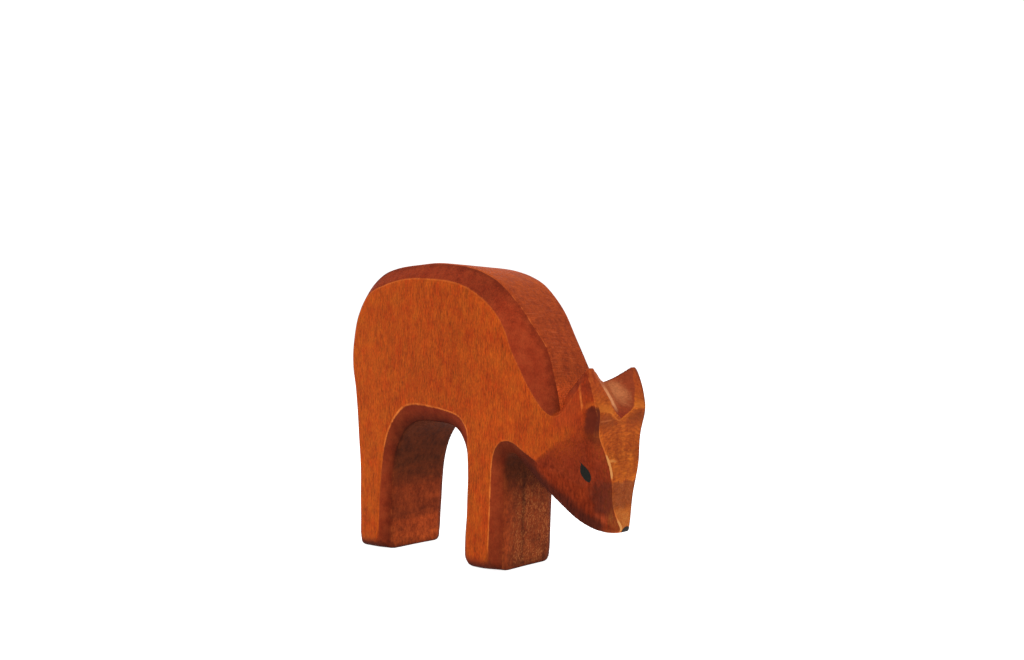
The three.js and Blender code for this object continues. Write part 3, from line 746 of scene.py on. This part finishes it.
def stained_wood():
    m = Nodes("stained_hardwood")
    x, y, z = (m.attribute("p_" + k) for k in "xyz")
    saw, side, chamfer, cheek, notch = (m.attribute("d_" + k) for k in ("saw", "side", "chamfer", "cheek", "notch"))
    light, amber, red, chamfer_light, edge, worn = (
        m.attribute("s_" + k) for k in ("light", "amber", "red", "chamfer", "edge", "worn")
    )
    upward = m.attribute("n_up")

    # unevenness at several scales: the fibres run up the legs
    fibre = m.uneven((2.0, 2.0, 0.42), 3, 0.62)
    fine = m.uneven((5.0, 5.0, 1.3), 2, 0.6, (5, 3, 7))
    thread = m.uneven((3.6, 3.6, 0.36), 2, 0.65, (1, 2, 7))
    strands = m.uneven((0.6, 0.6, 0.1), 3, 0.6, (2, 9, 4))
    cloud = m.uneven((0.17, 0.17, 0.13), 3, 0.55, (8, 1, 6))
    blotch = m.uneven((0.36, 0.36, 0.3), 3, 0.6, (3, 4, 1))
    mottle = m.uneven((0.95, 0.95, 0.8), 4, 0.65, (1, 7, 2))
    grit = m.uneven((3.2, 3.2, 2.6), 2, 0.6, (6, 6, 1))
    hue = m.add(m.mul(m.uneven((0.22, 0.22, 0.16), 3, 0.6, (4, 8, 3)), 0.8), m.mul(m.uneven((2.7, 2.7, 0.5), 2, 0.55, (7, 2, 9)), 0.55))
    bristle = m.uneven((1.9, 1.9, 0.24), 2, 0.5, (9, 5, 5))

    # flank
    v = m.add(0.99, m.mul(fibre, 0.05), m.mul(fine, 0.18), m.mul(thread, 0.19), m.mul(strands, 0.06), m.mul(cloud, 0.05), m.mul(blotch, 0.035), m.ease(x, 4, 14, -0.015, 0.05), m.ease(x, -33, -22, 0.05, 0), m.mul(m.ease(z, 70, 76), 0.03))
    pore = m.ease(m.noise(m.at((2.7, 2.7, 0.6)), 1.0, 1, 0.5), 0.66, 0.78)
    spark = m.ease(m.noise(m.at((2.9, 2.9, 0.7), (31, 17, 5)), 1.0, 1, 0.5), 0.68, 0.80)
    v = m.mul(v, m.add(1, m.mul(pore, -0.06), m.mul(spark, 0.18)))
    near_edge = m.ease(m.add(m.least(chamfer, saw), m.mul(side, -1)), 0, 1.6, 0.06, 0)
    flank_tone = m.hued(m.scaled(shade(141, 54, 6), m.add(v, near_edge)), m.add(hue, m.ease(x, -33, -20, 0.45, 0)), 0.2)
    # the sides of the ears are redder towards their tips and back edges
    ear_side = m.mul(m.ease(x, 33, 36), m.ease(m.add(z, m.mul(x, -0.7), m.mul(blotch, 0.5)), 19.4, 22.4), m.ease(z, 44, 47))
    ear_all = m.mul(m.ease(x, 33, 36), m.ease(m.add(z, m.mul(blotch, 0.6)), 36.5, 42.0))
    quiet = m.add(1, m.mul(m.add(v, -1), 0.6))
    flank_tone = m.mix(m.mul(ear_all, 0.8), flank_tone, m.scaled(m.hued(shade(130, 41, 9), m.add(blotch, m.mul(mottle, 0.5)), 0.1), quiet))
    flank_tone = m.mix(m.mul(ear_side, 0.6), flank_tone, m.scaled(m.hued(shade(118, 38, 12), mottle, 0.1), quiet))

    # chamfers carved with a knife: darker towards the sawn edge
    within = m.add(saw, m.mul(chamfer, -1))
    ticks = m.uneven((1.5, 0.3, 2.6), 2, 0.6, (3, 3, 5))
    rough_cut = m.ease(z, 60, 74, 0.55, 1)
    v = m.add(1, m.mul(rough_cut, m.add(m.mul(mottle, 0.1), m.mul(fine, 0.12), m.mul(grit, 0.12))), m.mul(blotch, 0.07))
    upper = m.ease(z, 41, 50)
    band = m.ease(m.add(within, m.mul(ticks, 0.35), m.mul(mottle, 0.12), m.mul(blotch, 0.2)), 0.4, 1.9, 0.82, 1.08)
    # on the legs the chamfer is painted darker as shade: towards the sawn edge, most up under the throat on the front
    # leg, and near the feet
    slope = m.mul(m.ease(z, 3, 10, 0.86, 1), m.ease(m.add(within, m.mul(mottle, 0.15), m.mul(blotch, 0.15)), -0.4, m.ease(z, 29, 37, 2.3, 4.4), m.ease(x, 4, 9, m.ease(z, 20, 30, 0.7, 0.52), 0.88), m.ease(z, 29, 37, 1.12, 1.3)))
    inner = m.line(upper, 0, 1, slope, band)
    chamfer_tone = m.hued(m.scaled(m.mix(upper, shade(115, 41, 16), shade(120, 41, 16)), m.mul(v, chamfer_light, inner)), m.add(blotch, m.mul(m.ease(x, -26, -18), m.ease(x, 2, 6, 1, 0), m.ease(z, 30, 36), m.ease(z, 46, 50, 1, 0), -1.5)), 0.12)
    chamfer_tone = m.mix(m.mul(m.ease(x, 33.2, 34.6), m.ease(m.add(z, m.mul(blotch, 0.5)), 46.5, 49.5, 1, 0), m.ease(z, 36, 38), 0.8), chamfer_tone, m.scaled(flank_tone, 0.95))

    # sawn faces: the back is scuffed smooth, and the rump shows long fibres
    rear = m.ease(x, -35, -31, 1, 0)
    smooth = m.math("MAXIMUM", rear, m.mul(m.ease(x, 38, 40, 1, 0), m.ease(z, 44, 50)))
    bands = m.uneven((0.09, 0.09, 0.5), 3, 0.6, (2, 2, 8))
    upright = m.line(upward, 0.2, 0.7, 1, 0)
    calm = m.line(light, 0, 0.7, 0.35, 1)
    level = m.add(light, m.mul(calm, m.add(m.mul(bands, upright, 0.09), m.mul(blotch, 0.08), m.mul(mottle, 0.08))))
    brown = m.mix(level, shade(62, 28, 12), shade(144, 57, 21))
    honey = m.mix(level, shade(124, 47, 7), shade(167, 80, 18))
    rust = m.mix(level, shade(100, 31, 8), shade(148, 49, 17))
    saw_tone = m.mix(red, m.mix(amber, brown, honey), rust)
    v = m.add(1, m.mul(calm, m.add(m.mul(fibre, 0.1), m.mul(mottle, m.line(smooth, 0, 1, 0.1, 0.04)), m.mul(fine, 0.12), m.mul(grit, m.line(smooth, 0, 1, 0.1, 0.07)))), m.mul(rear, m.add(m.mul(thread, 0.12), m.mul(strands, 0.1))), m.mul(blotch, m.line(smooth, 0, 1, 0.07, 0.045)))
    saw_tone = m.hued(m.scaled(saw_tone, v), m.add(m.mul(blotch, 0.5), m.mul(mottle, m.line(smooth, 0, 1, 0.5, 0.2))), 0.12)
    # fine curved saw marks and scuffs across the neck and back
    bowed = m.attribute("bowed")
    scuff = m.ease(m.along(m.at((2.6, 0.22, 0.0)), m.mul(bowed, 3.0), 3, 0.65), 0.53, 0.70)
    kerf = m.math("MULTIPLY", m.math("SUBTRACT", m.along(m.at((3.4, 0.22, 0.0)), m.mul(bowed, 4.2), 2, 0.6), 0.5), 8.0)
    behind = m.mul(m.ease(x, 38, 40, 1, 0), m.ease(z, 42, 48))
    saw_tone = m.mix(m.mul(scuff, behind, 0.5), saw_tone, shade(168, 78, 41))
    saw_tone = m.scaled(saw_tone, m.add(1, m.mul(kerf, behind, 0.11)))
    # painted light: the hollow where the neck meets the ears is painted lighter, lifting the shade there
    painted_light_in_hollow = m.mul(m.ease(z, 46.5, 54, 1, 0), m.ease(x, 29, 31.5), m.ease(x, 36, 38, 1, 0), m.ease(z, 42, 43))
    saw_tone = m.hued(m.scaled(saw_tone, m.add(1, m.mul(painted_light_in_hollow, m.line(m.add(mottle, grit), -2, 2, 0.5, 1.3)))), painted_light_in_hollow, 0.06)
    # pale flecks on the front of the front legs, and a dark run down their middle
    fleck = m.ease(m.noise(m.at((2.5, 2.5, 1.5)), 1.0, 3, 0.75), 0.47, 0.62)
    front = m.mul(m.ease(x, 12.5, 14.2), m.ease(x, 17, 18.5, 1, 0), m.ease(z, 24, 30, 1, 0), m.ease(z, 0.2, 1.2))
    # the front of the front legs is darker, partly its stain and partly painted shade under the throat; it is lighter
    # towards the foot and along the near side, darker towards the far side
    saw_tone = m.scaled(saw_tone, m.add(1, m.mul(front, -0.42), m.mul(front, m.ease(y, -8.6, -5.0, 1, 0), m.ease(z, 24, 18), 0.16), m.mul(front, m.ease(z, 14, 20, 1, 0), 0.08), m.mul(front, m.ease(y, 3, 8), -0.06), m.mul(front, m.ease(m.add(y, m.mul(mottle, 0.4)), 8, 12), -0.22)))
    patchy = m.ease(m.add(blotch, m.mul(cloud, 0.6)), -0.9, 0.5, 0.35, 1)
    saw_tone = m.mix(m.mul(fleck, front, patchy, m.ease(y, -9, -4), m.ease(z, 14, 25, 1, 0.3), 0.9), saw_tone, shade(160, 90, 46))
    run = m.mul(front, m.ease(m.math("ABSOLUTE", m.add(y, 2.2, m.mul(mottle, 0.3), m.mul(fibre, 0.2))), 0.2, 1.3, 1, 0), m.ease(z, 2, 12, 0.4, 1))
    saw_tone = m.scaled(saw_tone, m.add(1, m.mul(run, -0.4)))
    # the lower end of the hind legs' inner face is paler on one side
    inside_hind = m.mul(m.ease(x, -33, -30.8), m.ease(x, -29, -27.5, 1, 0), m.ease(z, 14, 26, 1, 0))
    saw_tone = m.scaled(saw_tone, m.add(1, m.mul(inside_hind, m.line(m.math("ABSOLUTE", m.add(y, -4)), 0, 14, 0.18, -0.08)), m.mul(inside_hind, m.ease(z, 3.5, 9, 1, 0), m.ease(y, -3, 5), 0.16)))

    # front of the head: growth lines, a brown stretch above the nose, the band under the ridge
    ahead = m.ease(x, 42.5, 44)
    arch = m.add(z, m.mul(m.math("POWER", m.math("ABSOLUTE", m.add(y, -1)), 2.0), 0.035), m.mul(blotch, 0.25), m.mul(mottle, 0.08))
    across = m.uneven((0.5, 0.5, 2.8), 3, 0.6, (7, 7, 2))
    strip_tone = m.scaled(m.hued(m.mix(m.add(red, m.mul(m.ease(z, 32.5, 35), m.ease(z, 40, 42, 0.16, 0.1))), honey, rust), m.add(blotch, m.mul(across, 0.5)), 0.12), m.add(1, m.mul(across, 0.14), m.mul(blotch, 0.12), m.mul(mottle, 0.05), m.mul(grit, 0.05)))
    saw_tone = m.mix(ahead, saw_tone, strip_tone)
    rings = m.math("SINE", m.mul(m.add(arch, m.mul(cloud, 0.35)), 5.1))
    growth = m.mul(m.ease(m.add(rings, m.mul(grit, 0.12)), 0.6, 1.0), m.ease(m.add(cloud, m.mul(blotch, 0.7), m.mul(mottle, 0.3)), -1.6, 0.2), m.ease(z, 27, 31), m.line(across, -1.5, 1.5, 0.4, 1.1))
    pale_ring = m.mul(m.ease(rings, -1.0, -0.5, 1, 0), m.ease(z, 28, 31), m.ease(m.add(blotch, m.mul(mottle, 0.4)), -0.8, 0.8))
    saw_tone = m.scaled(saw_tone, m.add(1, m.mul(growth, ahead, -0.3), m.mul(pale_ring, ahead, 0.18), m.mul(cloud, ahead, 0.06)))
    yellow = m.mul(ahead, m.ease(m.add(z, m.mul(blotch, 0.8)), 24.5, 27.5), m.ease(m.add(z, m.mul(blotch, 0.8)), 30, 34, 1, 0), m.ease(m.add(blotch, m.mul(mottle, 0.6)), -1.0, 0.8, 0.3, 1))
    saw_tone = m.mix(m.mul(yellow, 0.4), saw_tone, m.scaled(shade(160, 76, 14), m.add(1, m.mul(across, 0.14), m.mul(mottle, 0.1))))
    saw_tone = m.scaled(saw_tone, m.add(1, m.mul(ahead, m.ease(z, 26, 28), m.ease(z, 32, 36, 1, 0), -0.1)))
    smear = m.mul(ahead, m.ease(m.math("ABSOLUTE", m.add(z, -31.5, m.mul(y, 0.12), 0.6, m.mul(mottle, 0.15))), 0.1, 0.5, 1, 0), m.ease(y, -7.5, -6.5), m.ease(y, -5, -2.5, 1, 0))
    saw_tone = m.mix(m.mul(smear, 0.7), saw_tone, shade(184, 116, 54))
    brown_run = m.mul(ahead, m.ease(m.add(z, m.mul(mottle, 0.25), m.mul(blotch, 0.15)), 25.6, 26.4, 1, 0), m.ease(m.add(z, m.mul(blotch, 0.6), m.mul(mottle, 0.3)), 17.6, 20.6), m.line(m.add(blotch, mottle), -2, 2, 0.6, 1))
    saw_tone = m.mix(m.mul(brown_run, 0.9), saw_tone, m.scaled(m.hued(shade(107, 48, 21), mottle, 0.2), m.mul(v, m.add(1, m.mul(grit, 0.12), m.mul(mottle, 0.12)))))
    muzzle = m.mul(ahead, m.ease(m.add(z, m.mul(blotch, 0.6)), 17.5, 20, 1, 0), m.line(m.add(blotch, mottle), -1.5, 1.5, 0.6, 1))
    saw_tone = m.mix(m.mul(muzzle, 0.85), saw_tone, m.scaled(m.hued(shade(158, 88, 36), mottle, 0.12), m.add(1, m.mul(fine, 0.1), m.mul(grit, 0.14))))
    ridge = m.attribute("m_ridge")
    under = m.mul(m.ease(m.add(ridge, m.mul(mottle, 0.3)), -1.3, -0.05, 1, 0), m.ease(m.add(z, m.mul(mottle, 0.5), m.mul(blotch, 0.5), m.mul(across, 0.3)), 38.4, 42.0), ahead, m.ease(m.math("ABSOLUTE", m.add(y, 0.8)), 0.8, 4.0, 0.35, 1), m.line(y, -8, 8, 1, 0.75), m.line(m.add(blotch, mottle, across), -2, 2, 0.45, 1))
    saw_tone = m.mix(m.mul(under, 0.95), saw_tone, m.scaled(shade(106, 42, 14), m.add(1, m.mul(across, 0.15), m.mul(bands, 0.2), m.mul(mottle, 0.18), m.mul(grit, 0.1))))
    scratch = m.mul(ahead, m.ease(m.math("ABSOLUTE", m.add(z, -41.75, m.mul(y, -0.03), m.mul(mottle, 0.08))), 0.0, 0.36, 1, 0), m.ease(y, -9.6, -9), m.ease(y, -5.6, -4.6, 1, 0))
    saw_tone = m.mix(m.mul(scratch, 0.5), saw_tone, shade(166, 88, 44))
    above = m.mul(m.ease(ridge, -0.3, 0.1), m.ease(m.add(ridge, m.mul(blotch, 0.4)), 0.8, 2.6, 1, 0), ahead, m.ease(m.math("ABSOLUTE", y), 3.5, 5.5))
    saw_tone = m.mix(m.mul(above, 0.55), saw_tone, shade(176, 94, 28))
    crest = m.mul(m.ease(m.math("ABSOLUTE", m.add(ridge, -0.05)), 0.0, 0.34, 1, 0), ahead, m.ease(m.math("ABSOLUTE", y), 5, 8, 1, 0), m.line(m.add(mottle, grit), -1.5, 1.5, 0.35, 1.0))
    saw_tone = m.mix(m.mul(crest, 0.8), saw_tone, shade(182, 96, 34))

    tip = m.mul(ahead, m.ease(m.add(z, m.mul(blotch, 0.6), m.mul(mottle, 0.5)), 45.0, 50.5))
    saw_tone = m.mix(m.mul(tip, 0.75), saw_tone, m.scaled(m.hued(shade(136, 51, 17), mottle, 0.2), v))

    # walls of the ear notch: pale and scraped in the middle, red and dark towards the edges
    far_wall = m.ease(y, 0.3, 1.2)
    wall_level = m.mul(m.ease(m.add(m.math("SQRT", m.add(
        m.math("POWER", m.mul(m.add(y, -2.4), 0.32), 2.0), m.math("POWER", m.mul(m.add(z, -48.4), 0.28), 2.0))), m.mul(blotch, 0.16), m.mul(mottle, 0.06)), 0.1, 1.25, 0.9, 0), far_wall)
    wall = m.mix(wall_level, shade(122, 48, 21), shade(168, 98, 58))
    wall = m.mix(m.mul(m.ease(z, 43.5, 47), m.add(1, m.mul(far_wall, -1)), 0.85), wall, shade(152, 78, 42))
    wall = m.mix(m.ease(z, 42.2, 44.5, 0.8, 0), wall, shade(118, 36, 16))
    scrape = m.uneven((1.0, 1.3, 3.2), 3, 0.65, (3, 1, 4))
    wall = m.scaled(wall, m.add(1, m.mul(scrape, 0.12), m.mul(blotch, 0.07), m.mul(grit, 0.06)))
    streak = m.ease(m.math("DIVIDE", m.math("ABSOLUTE", m.add(y, m.line(z, 43, 51, 1.6, 5.3), m.mul(mottle, 0.3))), m.line(z, 43, 50, 0.8, 1.7)), 0.3, 2.0, 1, 0)
    wall = m.mix(m.mul(streak, m.ease(z, 43, 45.5), m.ease(z, 48.5, 51, 1, 0), m.line(m.add(mottle, scrape), -2, 2, 0.4, 0.95)), wall, shade(204, 138, 92))
    rim_dark = m.mul(far_wall, m.ease(m.add(saw, m.mul(notch, -1)), 0.0, 0.75, 1, 0))
    wall = m.mix(m.mul(rim_dark, m.ease(amber, 0.5, 0.8, 1, 0), 0.7), wall, shade(72, 28, 16))

    # cheeks: brushed red, dark patch below the ear, darker mouth, and painted shade under the jaw
    v = m.add(1, m.mul(blotch, 0.1), m.mul(mottle, 0.09), m.mul(bristle, 0.15), m.mul(fibre, 0.08), m.mul(thread, 0.05), m.mul(fine, 0.1), m.mul(grit, 0.05))
    cheek_tone = m.mix(m.line(cloud, -1.5, 1.5), shade(104, 32, 11), shade(113, 38, 13))
    patch = m.attribute("m_patch")
    patch_soft = m.ease(z, 36, 43, 1.9, 0.6)
    in_patch = m.ease(m.math("DIVIDE", m.add(patch, m.mul(mottle, 0.12), m.mul(bristle, 0.05)), patch_soft), -0.6, 0.6, 1, 0)
    patch_tone = m.mix(m.ease(patch, -2.6, -0.6), shade(57, 20, 10), shade(76, 24, 10))
    cheek_tone = m.mix(m.mul(in_patch, m.ease(z, 34.5, 38.5, 0.2, 0.9)), cheek_tone, patch_tone)
    mouth = m.attribute("m_mouth")
    cheek_tone = m.mix(m.mul(m.ease(m.add(mouth, m.mul(mottle, 0.2), m.mul(blotch, 0.2)), 0.1, 1.1), 0.95), cheek_tone, shade(80, 28, 14))
    lip = m.mul(m.ease(m.math("ABSOLUTE", m.add(x, -43.6)), 0.6, 2.2, 1, 0), m.ease(m.math("ABSOLUTE", m.add(z, -16.6)), 0.4, 1.9, 1, 0))
    cheek_tone = m.mix(m.mul(lip, 0.6), cheek_tone, shade(140, 54, 26))
    ear_cut = m.mul(m.ease(z, 43.8, 45), m.ease(m.add(patch, m.mul(mottle, 0.12)), 0.1, 0.6))
    cheek_tone = m.mix(m.mul(m.ease(m.add(z, m.mul(blotch, 0.5)), 40, 43.5), m.add(1, m.mul(in_patch, -1))), cheek_tone, m.scaled(flank_tone, 0.9))
    cheek_tone = m.mix(m.mul(ear_cut, m.ease(z, 44.8, 46)), cheek_tone, m.scaled(m.mix(m.ease(m.add(blotch, m.mul(mottle, 0.6)), -1, 1), shade(108, 28, 8), shade(136, 42, 12)), m.add(1, m.mul(mottle, 0.15), m.mul(grit, 0.12))))
    jaw = m.attribute("m_jaw_shade")
    jaw_shade = m.mul(m.ease(m.add(jaw, m.mul(mottle, 0.12), m.mul(blotch, 0.1)), 0.1, 1.0), 0.9)
    cheek_tone = m.hued(m.scaled(cheek_tone, m.mul(v, 0.965)), m.add(m.mul(mottle, 0.6), m.mul(bristle, 0.6)), 0.1)

    # which cut a point lies on: crisp knife edges, but a brushed limit between cheek and flank
    on_notch = m.ease(m.add(saw, m.mul(notch, -1), m.mul(mottle, far_wall, 0.05)), m.line(far_wall, 0, 1, -0.05, -0.16), m.line(far_wall, 0, 1, 0.05, 0.16))
    blend = m.ease(z, 33, 41, 0.8, 0.06)
    on_chamfer = m.ease(m.math("DIVIDE", m.add(m.least(saw, notch), m.mul(chamfer, -1), m.mul(mottle, 0.015)), blend), -1, 1)
    side_edge = m.add(m.least(saw, notch, chamfer), m.mul(side, -1))
    on_side = m.ease(m.math("DIVIDE", m.add(side_edge, m.mul(grit, 0.02), m.mul(mottle, m.ease(z, 36, 46, 0.03, 0))), m.math("MAXIMUM", m.ease(z, 2.5, 7.5, 0.75, 0.05), m.ease(z, 36, 46, 0.1, 0.05))), -1, 1)
    chest = m.mul(m.ease(m.add(z, m.mul(x, -0.6), m.mul(bristle, 0.35)), 13.0, 14.9, 1, 0), m.ease(m.add(x, m.mul(mottle, 0.2)), 26.6, 28.4), m.ease(z, 36, 38, 1, 0))
    brushed = m.add(m.least(side, chamfer), m.mul(cheek, -1), m.mul(mottle, 0.05), m.mul(chest, 1.3))
    brushed = m.math("DIVIDE", brushed, m.ease(x, 32, 37, 1, 3.0))
    on_cheek = m.mul(
        m.ease(m.add(m.least(saw, notch), m.mul(cheek, -1)), -0.05, 0.05),
        m.add(m.mul(m.ease(m.add(brushed, m.mul(bristle, 0.2)), -0.4, 0.4), 0.55), m.mul(m.ease(m.add(brushed, m.mul(bristle, 0.4), m.mul(blotch, 0.15)), 0.1, 1.7), 0.45)),
    )
    colour = m.mix(on_notch, saw_tone, wall)
    colour = m.mix(on_chamfer, colour, chamfer_tone)
    colour = m.mix(on_side, colour, flank_tone)
    colour = m.mix(on_cheek, colour, cheek_tone)
    dark_patch = m.mul(in_patch, m.ease(m.add(z, m.mul(mottle, 0.3)), 35, 40.5), m.ease(m.add(m.least(saw, notch), m.mul(cheek, -1)), -0.05, 0.05))
    colour = m.mix(m.mul(dark_patch, 0.86), colour, m.scaled(shade(76, 25, 13), m.add(1, m.mul(mottle, 0.1), m.mul(blotch, 0.06), m.mul(bristle, 0.05))))
    orange = m.mul(m.ease(m.add(patch, m.mul(mottle, 0.1)), 0.0, 0.2), m.ease(m.add(patch, m.mul(mottle, 0.2)), 0.6, 1.3, 1, 0), m.ease(z, 44.2, 45.2), m.ease(x, 43.8, 44.4), m.ease(saw, 0, 0.3), m.ease(m.math("ABSOLUTE", y), 9, 9.8))
    colour = m.mix(m.mul(orange, 0.5), colour, m.scaled(shade(156, 70, 20), m.add(1, m.mul(mottle, 0.15), m.mul(grit, 0.1))))
    # painted shade under the jaw and along the throat
    colour = m.mix(jaw_shade, colour, m.scaled(shade(59, 21, 12), v))

    # worn edges: the stain is rubbed off where cuts meet
    rubbed = m.line(m.add(m.mul(mottle, 0.5), m.mul(blotch, 0.5)), -1.0, 1.0, 0.15, 1.1)
    line = m.mul(m.ease(m.math("ABSOLUTE", m.add(side_edge, -0.05, m.mul(grit, 0.02))), 0.05, 0.2, 1, 0), edge, rubbed, m.ease(m.add(cheek, m.mul(side, -1)), 0.1, 0.6), m.ease(z, 3.5, 8))
    colour = m.mix(line, colour, shade(188, 98, 38))
    ear_line = m.mul(m.ease(m.math("ABSOLUTE", m.add(side_edge, -0.05, m.mul(mottle, 0.05))), 0.05, 0.24, 1, 0), m.ease(z, 44.6, 45.6), m.ease(z, 47, 49.5, 1, 0), m.ease(x, 41.5, 42.5), m.line(m.add(mottle, grit), -1.5, 1.5, 0.2, 1))
    colour = m.mix(m.mul(ear_line, m.line(z, 46, 49.5, 0.35, 0.4)), colour, shade(178, 90, 34))
    saw_edge = m.add(saw, m.mul(chamfer, -1))
    line = m.mul(m.ease(m.math("ABSOLUTE", m.add(saw_edge, 0.05)), 0.04, 0.2, 1, 0), worn, m.ease(m.add(blotch, mottle), -0.6, 1.2))
    colour = m.mix(m.mul(line, 0.85), colour, shade(184, 92, 38))
    # painted shade along the crease where the chamfer meets the sawn face, round the belly arch
    crease_shade = m.mul(m.ease(m.math("ABSOLUTE", m.add(saw_edge, -0.1, m.mul(mottle, 0.05))), 0.1, 0.55, 1, 0), m.ease(z, 24, 32), m.ease(x, 3, 5, 1, 0), m.ease(z, 44, 46, 1, 0))
    colour = m.scaled(colour, m.add(1, m.mul(crease_shade, -0.38)))
    far_line = m.mul(m.ease(m.math("ABSOLUTE", m.add(saw_edge, -0.1)), 0.06, 0.4, 1, 0), m.ease(y, 2, 4), m.ease(x, -34, -24), m.ease(z, 60, 66), m.line(m.add(mottle, blotch), -1.5, 1.5, 0.4, 1))
    colour = m.mix(m.mul(far_line, 0.8), colour, shade(176, 92, 40))
    rim = m.attribute("m_rim")
    rim_edge = m.add(cheek, m.mul(saw, -1), m.mul(mottle, 0.03))
    width = m.mul(m.line(rim, 0, 1.35, 0.03, 0.42), m.line(mottle, -1.5, 1.5, 0.75, 1.2))
    over = m.math("DIVIDE", m.math("ABSOLUTE", m.add(rim_edge, m.mul(width, -0.7))), width)
    line = m.mul(m.ease(over, 0.75, 1.25, 1, 0), m.line(rim, 0, 0.8, 0, 0.9), m.ease(m.add(side, m.mul(saw, -1)), 0.1, 0.5), m.ease(x, 38, 40), m.math("MAXIMUM", m.ease(z, 14.8, 16), m.ease(x, 45.8, 46.8)), m.ease(y, 0, 3, 1, 0.35))
    colour = m.mix(line, colour, m.mix(m.ease(rim, 0.6, 1.0), shade(182, 92, 34), shade(190, 128, 70)))

    # painted shade along the far edges of the head and neck, round the rump and down the back of the front legs
    far_edge_shade = m.mul(m.ease(saw_edge, 0.0, 0.45, 1, 0), m.ease(saw_edge, -0.7, -0.2), m.ease(y, 3, 5), m.ease(m.math("ABSOLUTE", m.add(z, -43.5)), 3.5, 8), m.ease(z, 60, 64, 1, 0), m.ease(x, 40, 42, 1, 0))
    head_rim_shade = m.mul(m.ease(m.add(cheek, m.mul(saw, -1)), 0.0, 1.0, 1, 0), ahead, m.ease(y, 1, 3))
    rump_edge_shade = m.mul(m.ease(saw, 0.0, 0.9, 1, 0), m.ease(m.least(side, chamfer), 0.1, 1.1, 1, 0), m.ease(z, 3, 6), m.math("MAXIMUM", m.ease(x, -33, -30, 1, 0), m.mul(m.ease(x, -2, 0), m.ease(x, 5, 6, 1, 0), m.ease(z, 30, 34, 1, 0), 0.7)))
    colour = m.scaled(colour, m.add(1, m.mul(far_edge_shade, -0.35), m.mul(head_rim_shade, -0.4), m.mul(rump_edge_shade, -0.45)))

    # painted shade: the feet darken towards the soles, most where they meet the floor
    foot_shade = m.mul(m.ease(m.add(z, m.mul(mottle, 0.25)), 0.2, 2.6, 0.6, 1), m.ease(z, 0.0, 0.7, 0.4, 1))
    # painted sheen: a trace of white added in place of a glossy reflection, least on the chamfers and cheeks
    painted_sheen = m.add(0.0042, m.mul(on_chamfer, m.add(1, m.mul(on_side, -1)), -0.0015), m.mul(on_cheek, -0.0016), m.mul(on_side, -0.0004))
    colour = m.vector("ADD", m.scaled(colour, foot_shade), m.join(painted_sheen, painted_sheen, painted_sheen))

    height = m.add(m.mul(fibre, 0.35), m.mul(fine, 0.25), m.mul(mottle, 0.35), m.mul(grit, 0.15))
    normal = m.bump(height, 0.25, 0.00006)
    rough = m.line(m.add(m.mul(fibre, 0.5), m.mul(blotch, 0.5)), -1.5, 1.5, 0.42, 0.62)
    return m.surface(colour, rough, normal, specular=0.01)


def black_paint(name, tone, worn):
    m = Nodes(name)
    p = m.place()
    brush = m.noise(m.vector("MULTIPLY", p, (3.0, 3.0, 1.2)), 1.0, 3, 0.6)
    thin = m.ease(m.noise(p, 2.6, 3, 0.6), 0.52, 0.72)
    colour = m.mix(m.line(brush, 0.3, 0.7), shade(*tone), shade(*(v * 1.6 for v in tone)))
    colour = m.mix(m.mul(thin, worn), colour, shade(70, 32, 18))
    return m.surface(colour, m.line(brush, 0.3, 0.7, 0.35, 0.55), m.bump(brush, 0.2, 0.0001), specular=0.06)


deer.data.materials.append(stained_wood())
for eye in eyes:
    eye.data.materials.append(black_paint("eye_paint", (16, 16, 13), 0.15))
nose.data.materials.append(black_paint("nose_paint", (20, 18, 17), 0.3))

# ---------------------------------------------------------------- floor, light and camera


def floor():
    mesh = bpy.data.meshes.new("floor")
    n, r = 64, 2.2
    ring_points = [(r * math.cos(math.tau * k / n), r * math.sin(math.tau * k / n), 0) for k in range(n)]
    mesh.from_pydata([(0, 0, 0)] + ring_points, [], [(0, k + 1, (k + 1) % n + 1) for k in range(n)])
    mesh.update()
    piece = bpy.data.objects.new("floor", mesh)
    bpy.context.scene.collection.objects.link(piece)
    m = Nodes("pale_floor")
    tint = m.mix(m.noise(m.place(), 0.05, 2, 0.5), (0.53, 0.53, 0.525, 1), (0.56, 0.56, 0.555, 1))
    material = m.surface(tint, 0.8, specular=0.1)
    glow = [n for n in m.tree.nodes if n.type == "BSDF_PRINCIPLED"][0]
    glow.inputs["Emission Color"].default_value = (1, 1, 1, 1)
    glow.inputs["Emission Strength"].default_value = 0.85
    piece.data.materials.append(material)


floor()


def softbox(name, place, aim, size, power, colour=(1, 1, 1)):
    light = bpy.data.lights.new(name, "AREA")
    light.shape, light.size, light.size_y = "RECTANGLE", size[0], size[1]
    light.energy, light.color = power, colour
    piece = bpy.data.objects.new(name, light)
    piece.location = place
    piece.rotation_euler = (Vector(aim) - Vector(place)).to_track_quat("-Z", "Y").to_euler()
    bpy.context.scene.collection.objects.link(piece)
    return piece


softbox("key", (-0.35, -0.75, 0.55), (0, 0, 0.04), (0.6, 0.5), 2.0)
softbox("top", (0.05, -0.05, 0.9), (0, 0, 0.03), (0.7, 0.7), 2.3)

world = bpy.data.worlds.new("studio")
bpy.context.scene.world = world
world.use_nodes = True
background = world.node_tree.nodes.get("Background") or world.node_tree.nodes.new("ShaderNodeBackground")
background.inputs[0].default_value = (1, 1, 1, 1)
background.inputs[1].default_value = 1.12
if not any(n.type == "OUTPUT_WORLD" for n in world.node_tree.nodes):
    out = world.node_tree.nodes.new("ShaderNodeOutputWorld")
    world.node_tree.links.new(background.outputs[0], out.inputs[0])

bpy.context.scene.view_settings.view_transform = "Standard"

lens = bpy.data.cameras.new("camera")
lens.sensor_width, lens.lens = 36, 969.9 * 36 / 1024
lens.shift_x, lens.shift_y = -0.5 / 1024, 0.5 / 1024
lens.clip_start = 0.01
camera = bpy.data.objects.new("camera", lens)
camera.location = (0.19035, -0.2019, 0.0589)
camera.rotation_euler = (math.radians(91.21), 0, math.radians(41.89))
bpy.context.scene.collection.objects.link(camera)
bpy.context.scene.camera = camera
